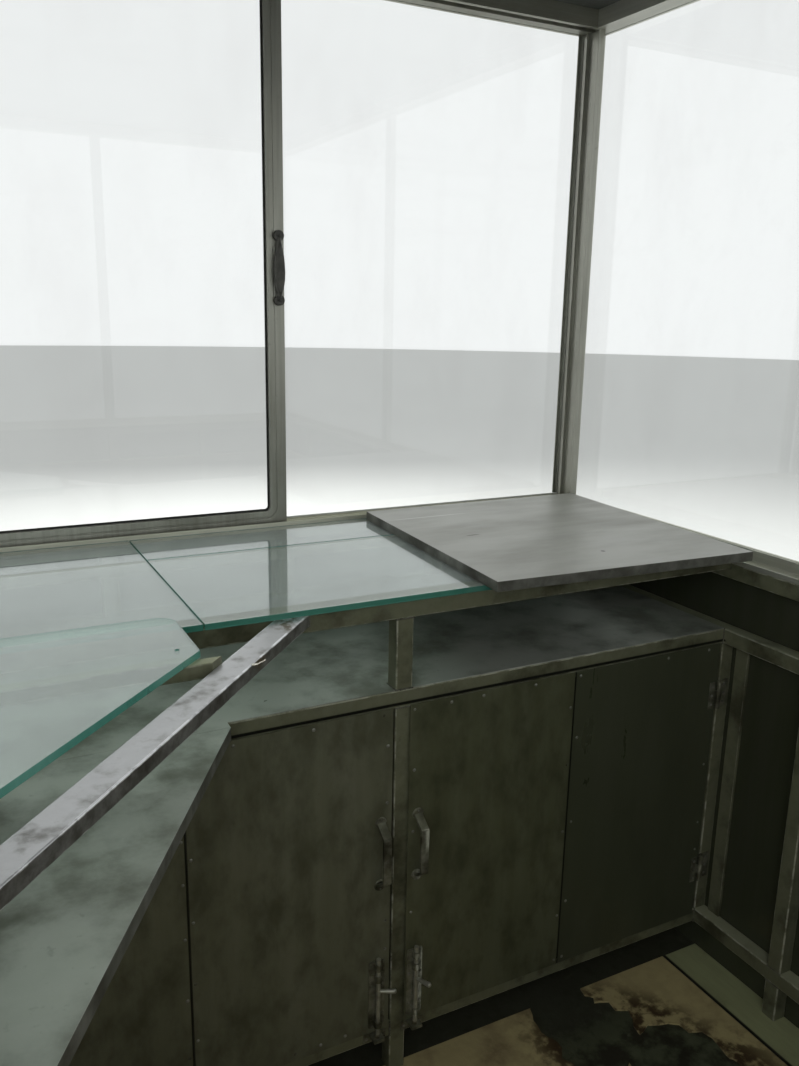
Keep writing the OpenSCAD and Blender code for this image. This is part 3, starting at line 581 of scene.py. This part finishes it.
counter_steel = metal(
    "counter_steel", clean=(0.41, 0.43, 0.38), dirt=(0.19, 0.20, 0.165), bare=(0.86, 0.87, 0.82),
    metallic=0.40, smooth=0.26, rough=0.50, lines=(6, 9, 9), dirt_at=(0.40, 0.68),
    patch=(6, 6, 6), rub_and_highlight=2.0, dents=0.0005, dust=0.10, drawn_by=0.10,
)
# A dark spot and a dark dash on the loose board, and a painted highlight along a fold.
TRAY_MARKS_AND_HIGHLIGHT = [
    mark((0.526, 0.583, 1.213), (0.007, 0.007, 0.01), (0.03, 0.028, 0.024)),
    mark((0.332, 0.829, 1.213), (0.024, 0.003, 0.01), (0.04, 0.036, 0.03)),
    mark((0.330, 1.045, 1.213), (0.150, 0.004, 0.01), (0.50, 0.50, 0.48)),
]
tray_steel = metal(
    "tray_steel", clean=(0.318, 0.316, 0.296), dirt=(0.276, 0.273, 0.253),
    bare=(0.46, 0.46, 0.44), metallic=0.40, smooth=0.36, rough=0.48, lines=(5, 40, 40),
    dirt_at=(0.30, 0.80), patch=(4, 12, 12), rub_and_highlight=1.4, dents=0.0003, dust=0.1, drawn_by=0.10,
    marks=TRAY_MARKS_AND_HIGHLIGHT,
)
# The upright sides of the wing and of the loose board: steel painted darker, as shade.
sides_painted_shade = metal(
    "sides_painted_shade", clean=(0.105, 0.107, 0.088), dirt=(0.060, 0.058, 0.044), bare=(0.50, 0.50, 0.46),
    metallic=0.40, smooth=0.38, rough=0.56, lines=(30, 30, 30), dirt_at=(0.42, 0.72),
    patch=(9, 9, 9), rub_and_highlight=0.9, dents=0.0003,
)
fitting_steel = metal(
    "fitting_steel", clean=(0.150, 0.150, 0.100), dirt=(0.050, 0.048, 0.030),
    bare=(0.66, 0.66, 0.56), metallic=0.55, smooth=0.32, rough=0.60, lines=(60, 60, 60),
    dirt_at=(0.38, 0.66), patch=(14, 14, 14), rub_and_highlight=1.1, dents=0.0002, dust=0.25,
)
rod_steel = metal(
    "rod_steel", clean=(0.34, 0.34, 0.27), dirt=(0.10, 0.095, 0.065), bare=(0.82, 0.82, 0.74),
    metallic=0.65, smooth=0.28, rough=0.56, lines=(60, 60, 60), dirt_at=(0.45, 0.72),
    patch=(14, 14, 14), rub_and_highlight=0.9, dents=0.0002,
)
rivet_steel = metal(
    "rivet_steel", clean=(0.26, 0.26, 0.225), dirt=(0.10, 0.10, 0.07), bare=(0.50, 0.50, 0.46),
    metallic=0.75, smooth=0.35, rough=0.60, lines=(60, 60, 60), patch=(20, 20, 20), rub_and_highlight=0.5,
    dents=0.0001,
)
weld_steel = metal(
    "weld_steel", clean=(0.13, 0.13, 0.10), dirt=(0.050, 0.046, 0.030), bare=(0.36, 0.36, 0.31),
    metallic=0.60, smooth=0.42, rough=0.66, lines=(90, 90, 90), dirt_at=(0.42, 0.64),
    patch=(24, 24, 24), rub_and_highlight=0.5, dents=0.0002, dust=0.4,
)
bare_scar = metal(
    "bare_scar", clean=(0.78, 0.76, 0.66), dirt=(0.42, 0.36, 0.24), bare=(0.92, 0.91, 0.86),
    metallic=0.85, smooth=0.20, rough=0.45, lines=(120, 120, 120), dirt_at=(0.50, 0.70),
    patch=(60, 60, 60), rub_and_highlight=0.5, dents=0.0001,
)
catch_dark = metal(
    "catch_dark", clean=(0.050, 0.049, 0.043), dirt=(0.035, 0.033, 0.026),
    bare=(0.24, 0.23, 0.20), metallic=0.40, smooth=0.36, rough=0.58, lines=(50, 50, 50),
    dirt_at=(0.5, 0.7), patch=(20, 20, 20), rub_and_highlight=1.0, dents=0.0002,
)
roof_steel = metal(
    "roof_steel", clean=(0.34, 0.35, 0.32), dirt=(0.22, 0.215, 0.175), bare=(0.46, 0.47, 0.44),
    metallic=0.35, smooth=0.42, rough=0.62, lines=(30, 30, 30), dirt_at=(0.48, 0.80),
    patch=(2, 2, 2), rub_and_highlight=0.6, dents=0.0006,
)
outer_panel = metal(
    "outer_panel", clean=(0.20, 0.21, 0.18), dirt=(0.13, 0.13, 0.10), bare=(0.32, 0.33, 0.29),
    metallic=0.30, smooth=0.38, rough=0.58, lines=(24, 24, 1.8), dirt_at=(0.42, 0.80),
    patch=(2, 2, 0.9), rub_and_highlight=0.7, dents=0.0006, darken_low=0.8, drawn_by=0.15,
)

window_glass = glass(
    "window_glass", tint=(0.97, 0.99, 0.985), lit=(0.93, 0.955, 0.95), transmission=1.0,
    smooth=0.0, smear=(0.925, 0.94, 0.935), haze=0.0,
)
plate_face = glass(
    "plate_face", tint=(0.85, 0.93, 0.90), lit=(0.80, 0.88, 0.85), transmission=0.84, smooth=0.03,
    smear=(0.76, 0.83, 0.80), haze=0.07,
)
plate_edge = glass(
    "plate_edge", tint=(0.055, 0.27, 0.205), lit=(0.30, 0.52, 0.45), transmission=0.45,
    smooth=0.18, smear=(0.16, 0.42, 0.34), haze=0.10,
)

# Dirt around the torn patches of the floor sheet.
TORN_STAINS = [
    mark((x, y, 0.07), (reach, reach, 0.1), (0.050, 0.030, 0.014), ragged=22)
    for x, y, reach in ((0.475, 0.410, 0.24), (0.640, 0.190, 0.22), (0.590, 0.360, 0.17))
]
floor_sheet = board(
    "beige_sheet", plain=(0.42, 0.350, 0.172), stain=(0.155, 0.112, 0.060), smooth=0.55,
    stretch=(5, 5, 5), stain_at=(0.48, 0.74), marks=TORN_STAINS,
)
# A painted shadow on the floor of the toe space under the doors.
TOE_SHADOW = [mark((0.0, 0.66, 0.066), (4.0, 0.30, 0.2), (0.034, 0.035, 0.022))]
floor_ply = board(
    "green_ply", plain=(0.075, 0.084, 0.048), stain=(0.024, 0.022, 0.013), smooth=0.60,
    stretch=(13, 13, 13), stain_at=(0.40, 0.60), marks=TOE_SHADOW,
)
# The dark line along the inner edge of the floor strip.
STRIP_X = MM * low_high("floor_strip")[0].x
STRIP_GAP = [mark((STRIP_X, 0.0, 0.07), (0.008, 4.0, 0.1), (0.012, 0.011, 0.008))]
floor_strip = board(
    "green_strip", plain=(0.300, 0.318, 0.170), stain=(0.170, 0.178, 0.098), smooth=0.50,
    stretch=(5, 5, 5), stain_at=(0.46, 0.72), grain=(40, 6, 40), marks=STRIP_GAP,
)
ceiling_board = board(
    "dark_ceiling", plain=(0.110, 0.114, 0.106), stain=(0.078, 0.078, 0.07), smooth=0.55,
    stretch=(3, 3, 3), stain_at=(0.45, 0.75), grain=(40, 6, 40),
)
seal_rubber = board(
    "seal_rubber", plain=(0.022, 0.022, 0.020), stain=(0.06, 0.058, 0.05), smooth=0.60,
    stretch=(12, 12, 12),
)
# The bead's pale tone is a painted highlight.
bead_painted_highlight = board(
    "bead_painted_highlight", plain=(0.62, 0.63, 0.60), stain=(0.42, 0.42, 0.38), smooth=0.45,
    stretch=(12, 12, 12), stain_at=(0.5, 0.75),
)


# The frame of the cabin
def cut_ends(node, material, radius=0.5, second=None):
    """Welded tubes: their cut ends are eased, and their own rounding is marked for wear and
    painted highlight.
    """
    eased(node, material, radius, segments=1, turn=45, rounding=2.0, second=second)


TUBE_NODES = (
    "side_rails", "end_rails", "counter_rails", "counter_supports", "wall_studs", "shelf_frame",
)
for node in TUBE_NODES:
    cut_ends(node, tube_steel)
# The slanting tube keeps its bright alloy on top, and its upright sides are painted darker, as
# shade.
cut_ends("diagonal_tube", [bright_alloy, tube_painted_shade], radius=0.4, second=upright)
for node in ("base_runners", "base_joists", "roof_beams"):
    cut_ends(node, base_steel)

# The frames of the windows and of the doorway
ALLOY_OF = {
    "corner_posts": alloy_upright,
    "window_uprights": alloy_upright,
    "door_frame": alloy_upright,
    "front_sill": alloy_cross_highlit,
    "back_frame": alloy_cross_highlit,
    "front_head": alloy_head,
    "side_sills": alloy_side,
    "side_heads": alloy_side,
}
for node, alloy in ALLOY_OF.items():
    eased(node, alloy, radius=0.7)
eased("front_sash", alloy_upright, radius=0.8)
eased("sash_lock", catch_dark, radius=1.0, segments=3)

# Wall panels, ceiling, roof and floor
OUT_OF = {
    "right_cladding": RIGHT,
    "left_cladding": -RIGHT,
    "front_cladding": FRONT,
    "back_cladding": -FRONT,
}


def clad(node, out):
    """A wall panel: dark and glossy towards the room, painted on its outer side."""

    def outer(face):
        return face.normal.dot(out) > LOOKING

    eased(node, [panel_steel, outer_panel], radius=1.5, second=outer)


for node, out in OUT_OF.items():
    clad(node, out)
eased("ceiling", ceiling_board, radius=0.8, segments=1)
eased("roof_panel", roof_steel, radius=1.2)

eased("floor_board", floor_ply, radius=0.8, segments=1)
eased("floor_sheet", floor_sheet, radius=0.8)
eased("floor_strip", floor_strip, radius=1.2)

# Counter, corner wing and loose board
eased("counter_top", counter_steel, radius=0.7)
# Their upright sides are painted darker, as shade.
eased("wing_top", [counter_steel, sides_painted_shade], radius=1.2, second=upright)
eased("tray_board", [tray_steel, sides_painted_shade], radius=1.2, segments=3, second=upright)


# Doors and their fittings
def beyond_seam(face):
    """Whether a face of the right door belongs to its right-hand sheet, painted darkest as shade.
    """
    return face.calc_center_median().x > RIGHT_SEAM


eased("left_door", door_steel, radius=0.6)
eased("right_door", [door_shaded, door_darkest_shade], radius=0.6, second=beyond_seam)
for node in ("left_fittings", "right_fittings", "frame_fittings"):
    eased(node, fitting_steel, radius=0.5)
for node in ("left_bolt_rod", "right_bolt_rod"):
    eased(node, rod_steel, radius=0.5)

# Glass
# A face with more than this share of the largest face's area is a flat side, not an edge.
SIDE_SHARE = 0.12


def glazed(node, faces, edges, arris):
    """Glass plates with eased edges, whose flat faces and ground edges differ."""
    bm = merged_copy(node)
    largest = max(face.calc_area() for face in bm.faces)
    for face in bm.faces:
        face.material_index = 0 if face.calc_area() > SIDE_SHARE * largest else 1
    bevelled(bm, corner_edges(bm, turn=60), arris)
    piece = finished(node + "_cut", bm, "cabin", [faces, edges], sharp=30)
    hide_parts(node)


for node in ("sash_glass", "fixed_glass", "side_glass", "back_glass"):
    glazed(node, window_glass, window_glass, arris=0.4)
for node in ("shelf_glass", "corner_glass"):
    glazed(node, plate_face, plate_edge, arris=0.8)


def seal_ring(name, node, width, depth):
    """A rubber ring around a pane on its room side, inset from the outline of the pane."""
    bm = merged_copy(node)
    pane = min(bm.faces, key=lambda face: face.calc_center_median().y)
    rest = [face for face in bm.faces if face is not pane]
    bmesh.ops.delete(bm, geom=rest, context="FACES")
    ring = bmesh.ops.inset_region(
        bm, faces=[pane], thickness=width, use_even_offset=True, use_boundary=True
    )["faces"]
    inner = [face for face in bm.faces if face not in ring]
    bmesh.ops.delete(bm, geom=inner, context="FACES")
    drawn = bmesh.ops.extrude_face_region(bm, geom=ring, use_keep_orig=True)["geom"]
    moved = [part for part in drawn if isinstance(part, bmesh.types.BMVert)]
    bmesh.ops.translate(bm, vec=(0, -depth, 0), verts=moved)
    bmesh.ops.recalc_face_normals(bm, faces=bm.faces)
    finished(name, bm, "cabin", seal_rubber)


seal_ring("sash_seal", "sash_glass", width=4.5, depth=3.0)

# The bead lies on a block of the sill, at the foot of the fixed pane, and is painted pale as a
# highlight.
BLOCK_HEIGHT, BEAD, BEAD_END = 14, 4, 1
fixed_low, fixed_high = low_high("fixed_glass")
BEAD_Z = low_high("front_sill")[0].z + BLOCK_HEIGHT
bead = bmesh.new()
block(
    bead,
    low=(fixed_low.x + BEAD_END, fixed_low.y - BEAD, BEAD_Z),
    high=(fixed_high.x - BEAD_END, fixed_low.y, BEAD_Z + BEAD),
    radius=1.2,
)
finished("fixed_glass_bead", bead, "cabin", bead_painted_highlight)

# Rivets and screws
rivet_head = turned(
    [(0, 1.7), (1.6, 1.55), (2.9, 1.0), (3.6, 0.2), (3.6, -0.6), (0, -0.6)], steps=12
)
small_rivet = turned(
    [(0, 1.3), (1.2, 1.2), (2.2, 0.8), (2.7, 0.1), (2.7, -0.5), (0, -0.5)], steps=10
)
screw_head = turned(
    [(0, 0.5), (0.9, 0.5), (1.1, 1.5), (2.4, 1.5), (3.3, 0.9), (3.5, -0.6), (0, -0.6)], steps=14
)
small_screw = turned(
    [(0, 0.3), (0.7, 0.3), (0.8, 1.0), (1.7, 0.9), (2.3, -0.5), (0, -0.5)], steps=12
)


def riveted(name, spots, out, body, mesh=rivet_head, material=rivet_steel):
    """Rivets or screws at a list of spots, all facing one way and each a little uneven."""
    bm = bmesh.new()
    for spot in spots:
        turn = Matrix.Rotation(chance.uniform(0, math.tau), 4, "Z")
        size = Matrix.Scale(chance.uniform(0.9, 1.08), 4)
        stamp(bm, mesh, facing(Vector(spot), out) @ turn @ size)
    finished(name, bm, body, material)


# Rivets of the doors: along the seam, the top, the middle, the foot and the hinge side
FACE_Y = low_high("left_door")[0].y
TOP_ROW, FOOT_ROW, HINGE_ROW = 944, 214, 857


def column(x, *heights):
    """Spots one above another on the face of a door."""
    return [(x, FACE_Y, z) for z in heights]


def row(z, *places):
    """Spots side by side on the face of a door."""
    return [(x, FACE_Y, z) for x in places]


riveted(
    "right_door_rivets",
    column(RIGHT_SEAM - 9, 871, 730, 559, 335, 212)
    + column(RIGHT_SEAM + 14, TOP_ROW, 793, 579, 368, FOOT_ROW)
    + row(TOP_ROW, 22, 109, 188, 322, 705, 835)
    + column(24, 808, 665, 470, 260)
    + column(HINGE_ROW, 634, 471, 393),
    out=-FRONT,
    body="right_leaf",
)
riveted(
    "left_door_rivets",
    column(LEFT_SEAM - 8, 772, 682, 564, 428, 295, 216)
    + column(LEFT_SEAM + 9, 730, 596, 460, 330, 228)
    + row(TOP_ROW, -780, -620, -500, -360, -200, -48)
    + column(-38, 876, 748, 470, 400)
    + row(FOOT_ROW, -130, -187, -244, -360, -560, -700, -820)
    + column(-HINGE_ROW, 634, 471, 393),
    out=-FRONT,
    body="left_leaf",
)

# Screws of the handles, bolt plates, hinges and keepers
SIDES = {"left": -1, "right": 1}
HANDLE_X = {"left": -52, "right": 35}
HANDLE_FACE, HANDLE_SCREWS_Z = FACE_Y - 3, (553, 713)
BOLT_X = {"left": -57, "right": 35}
PLATE_FACE, PLATE_SCREWS_X, PLATE_SCREWS_Z = FACE_Y - 2, (-14, 14), (243, 318)
FRAME_FACE, KEEPER_SCREWS_X, KEEPER_Z = 535, (-20, 20), 180
LEAF_SCREW_X, FRAME_SCREW_X = 858, 902
HINGE_SCREWS_Z = [hinge + z for hinge in (333, 820) for z in (-24, 0, 24)]
for side, sign in SIDES.items():
    riveted(
        side + "_handle_screws",
        [(HANDLE_X[side], HANDLE_FACE, z) for z in HANDLE_SCREWS_Z],
        out=-FRONT,
        body=side + "_leaf",
        mesh=small_screw,
    )
    riveted(
        side + "_plate_screws",
        [(BOLT_X[side] + x, PLATE_FACE, z) for x in PLATE_SCREWS_X for z in PLATE_SCREWS_Z]
        + [(sign * LEAF_SCREW_X, PLATE_FACE, z) for z in HINGE_SCREWS_Z],
        out=-FRONT,
        body=side + "_leaf",
        mesh=screw_head,
    )
riveted(
    "frame_screws",
    [(bolt + x, FRAME_FACE, KEEPER_Z) for bolt in BOLT_X.values() for x in KEEPER_SCREWS_X]
    + [(sign * FRAME_SCREW_X, FRAME_FACE, z) for sign in SIDES.values() for z in HINGE_SCREWS_Z],
    out=-FRONT,
    body="cabin",
    mesh=screw_head,
)

catch_low, catch_high = low_high("sash_lock")
CATCH_X = (catch_low.x + catch_high.x) / 2
CATCH_FACE = catch_high.y - 12
riveted(
    "catch_screws",
    [(CATCH_X, CATCH_FACE, z) for z in (1752, 1902)],
    out=-FRONT,
    body="cabin",
    mesh=screw_head,
    material=catch_dark,
)

# Welds
weld_drop = turned([(0, 2.3), (1.6, 1.6), (2.3, 0), (1.6, -1.6), (0, -2.3)], steps=8)
# How far a drop may lie from its place, each way.
STRAY = 0.4


def weld(bm, start, end, pitch=3.4, size=1.0):
    """A row of uneven, overlapping drops along a joint."""
    start, end = Vector(start), Vector(end)
    count = max(2, round((end - start).length / pitch))
    for i in range(count + 1):
        stray = Vector([chance.uniform(-STRAY, STRAY) for _ in range(3)])
        scale = Matrix.Scale(size * chance.uniform(0.8, 1.15), 4)
        stamp(bm, weld_drop, Matrix.Translation(start.lerp(end, i / count) + stray) @ scale)


# The tubes that meet: rails under and over the doors, the shelf, the sill and the studs
rails_low, rails_high = low_high("counter_rails")
WALL_X, RAIL_Y = rails_high.x, rails_low.y
TUBE = rails_high.y - rails_low.y
HALF = TUBE / 2
COUNTER_SHEET = 2
RAIL_LOW, RAIL_HIGH = rails_low.z, rails_low.z + TUBE
MID_LOW, COUNTER_Z = rails_high.z - TUBE, rails_high.z + COUNTER_SHEET
MID_HIGH = MID_LOW + TUBE
SHELF_LOW, SHELF_Z = 1141, 1179
SILL_LOW = 1117
STUD_JOINTS = (RAIL_LOW, RAIL_HIGH, MID_LOW, MID_HIGH, SILL_LOW)
STUDS = {1: (278, -250, -760), -1: (278, -190)}
BACK_STUDS, BACK_Y = (-450, 0, 450), -1205
# Where the slanting tube meets the shelf rail: both its sides, and how deep under the top.
SLANT_SIDES, SLANT_DEEP, SLANT_TOP = (-271.6, -204.4), 25, 2

seams = bmesh.new()
for z in (COUNTER_Z, SHELF_LOW, MID_LOW):
    weld(seams, (-HALF, RAIL_Y, z), (HALF, RAIL_Y, z))
for z in (COUNTER_Z, SHELF_LOW):
    weld(seams, (-HALF, RAIL_Y, z), (-HALF, RAIL_Y + TUBE, z))
for side in (-1, 1):
    weld(seams, (side * HALF, RAIL_Y, RAIL_LOW), (side * HALF, RAIL_Y, RAIL_HIGH))
    for low, high in ((RAIL_LOW, RAIL_HIGH), (MID_LOW, MID_HIGH), (SHELF_LOW, SHELF_Z)):
        weld(seams, (side * WALL_X, RAIL_Y, low), (side * WALL_X, RAIL_Y, high))
    for z in (RAIL_HIGH, MID_LOW):
        weld(seams, (side * WALL_X, RAIL_Y, z), (side * WALL_X, RAIL_Y + TUBE, z))
for side, studs in STUDS.items():
    for y in studs:
        for z in STUD_JOINTS:
            weld(seams, (side * WALL_X, y - HALF, z), (side * WALL_X, y + HALF, z))
for x in BACK_STUDS:
    for z in STUD_JOINTS:
        weld(seams, (x - HALF, BACK_Y, z), (x + HALF, BACK_Y, z))
for x in SLANT_SIDES:
    weld(seams, (x, RAIL_Y, SHELF_Z - SLANT_DEEP), (x, RAIL_Y, SHELF_Z - SLANT_TOP))
finished("weld_seams", seams, "cabin", weld_steel)

# The scar of an old weld on the side of the slanting tube, measured from the tube's foot
tube_low, tube_high = low_high("diagonal_tube")
TUBE_FOOT = Vector((tube_low.x, tube_low.y, 0))
TUBE_RUN = (Vector((tube_high.x, tube_high.y, 0)) - TUBE_FOOT).normalized()
SCAR = ((757, 1177.5), (772, 1173), (805, 1167.5))
SCAR_SIZES = (1.0, 0.7)


def on_tube_side(away, height):
    """A point on the side of the slanting tube that looks to the room."""
    return TUBE_FOOT + TUBE_RUN * away + UP * height


scar = bmesh.new()
for start, end, size in zip(SCAR, SCAR[1:], SCAR_SIZES):
    weld(scar, on_tube_side(*start), on_tube_side(*end), pitch=3.0, size=size)
finished("old_weld_scar", scar, "cabin", bare_scar)

# Rivets of the wall panels on their outer side
EDGE_INSET, EDGE_PITCH = 26, 205
JOINTS_APART, JOINT_INSET, JOINT_PITCH = 1 / 4, 170, 190


def along(first, last, step):
    """Evenly spaced places from first to last, about a step apart."""
    count = max(1, round((last - first) / step))
    return [first + (last - first) * i / count for i in range(count + 1)]


def panel_rivets(node, out):
    """Rivets along the edges and down the joints of a wall panel, on its outer face."""
    low, high = low_high(node)
    axis = 1 if abs(out.x) > LOOKING else 0
    face = high if out.x + out.y > 0 else low
    left, right = low[axis] + EDGE_INSET, high[axis] - EDGE_INSET
    spots = []
    for z in (low.z + EDGE_INSET, high.z - EDGE_INSET):
        spots += [(across, z) for across in along(left, right, EDGE_PITCH)]
    for across in along(left, right, (high[axis] - low[axis]) * JOINTS_APART):
        heights = along(low.z + JOINT_INSET, high.z - JOINT_INSET, JOINT_PITCH)
        spots += [(across, z) for z in heights]
    if axis:
        places = [(face.x, across, z) for across, z in spots]
    else:
        places = [(across, face.y, z) for across, z in spots]
    riveted(node + "_rivets", places, out, "cabin", mesh=small_rivet)


for node, out in OUT_OF.items():
    panel_rivets(node, out)


# Floor, light and camera
def stage():
    """A wide pale floor under the cabin."""
    bm = bmesh.new()
    bmesh.ops.create_circle(bm, cap_ends=True, cap_tris=False, segments=96, radius=40)
    mesh = bpy.data.meshes.new("pale_floor")
    bm.to_mesh(mesh)
    bm.free()
    floor = bpy.data.objects.new("pale_floor", mesh)
    bpy.context.scene.collection.objects.link(floor)
    made, _, shader, _ = blank("pale_floor")
    shader.inputs["Base Color"].default_value = (0.78, 0.78, 0.75, 1)
    shader.inputs["Roughness"].default_value = 0.9
    mesh.materials.append(made)


def sky():
    """An even soft light, and a plain pale background behind everything."""
    world = bpy.data.worlds.new("plain_sky")
    bpy.context.scene.world = world
    world.use_nodes = True
    tree = world.node_tree
    light = tree.nodes["Background"]
    light.inputs["Color"].default_value = (0.96, 0.98, 1.0, 1)
    light.inputs["Strength"].default_value = 0.65
    backdrop = add(tree, "ShaderNodeBackground", Color=(0.93, 0.94, 0.94, 1), Strength=1.0)
    path = add(tree, "ShaderNodeLightPath")
    seen = maths(tree, "MAXIMUM", path.outputs["Is Camera Ray"], path.outputs["Is Glossy Ray"])
    seen = maths(tree, "MAXIMUM", seen, path.outputs["Is Transmission Ray"])
    either_shader(
        tree, seen, light.outputs[0], backdrop.outputs[0], tree.nodes["World Output"]
    )


def lamp(name, place, aim, size, power):
    """A soft area lamp that isn't seen itself."""
    data = bpy.data.lights.new(name, "AREA")
    data.shape = "RECTANGLE"
    data.size, data.size_y = size
    data.energy = power
    made = bpy.data.objects.new(name, data)
    made.location = place
    made.rotation_euler = (Vector(aim) - Vector(place)).to_track_quat("-Z", "Y").to_euler()
    made.visible_camera = False
    made.visible_glossy = False
    made.visible_transmission = False
    bpy.context.scene.collection.objects.link(made)


stage()
sky()
lamp("street_light", place=(1.5, 6.5, 4.6), aim=(0, 0.6, 1.1), size=(4.0, 3.0), power=330)
lamp("side_light", place=(6.5, 0.8, 4.6), aim=(0, 0.4, 1.0), size=(3.5, 3.0), power=180)
lamp("back_light", place=(-5.0, -5.0, 5.5), aim=(0, 0, 1.0), size=(4.0, 4.0), power=140)
lamp("room_light", place=(-0.35, -1.10, 1.45), aim=(0.1, 0.6, 0.7), size=(1.0, 1.0), power=3)

# The camera stands where the photo was taken, in the doorway, 1.67 m above the floor.
CAMERA_AT = (-0.813, -0.992, 1.738)
CAMERA_RIGHT = (0.88916, -0.45724, 0.01831)
CAMERA_UP = (0.09266, 0.21909, 0.97129)
CAMERA_AHEAD = (0.44812, 0.86194, -0.23718)

camera_data = bpy.data.cameras.new("photo_view")
camera_data.lens = 31.05
camera_data.sensor_width = 36
camera_data.clip_start = 0.02
camera_data.clip_end = 200
camera = bpy.data.objects.new("photo_view", camera_data)
turn = Matrix((CAMERA_RIGHT, CAMERA_UP, [-part for part in CAMERA_AHEAD])).transposed()
camera.matrix_world = Matrix.Translation(CAMERA_AT) @ turn.to_4x4()
bpy.context.scene.collection.objects.link(camera)
bpy.context.scene.camera = camera
bpy.context.scene.view_settings.view_transform = "Standard"
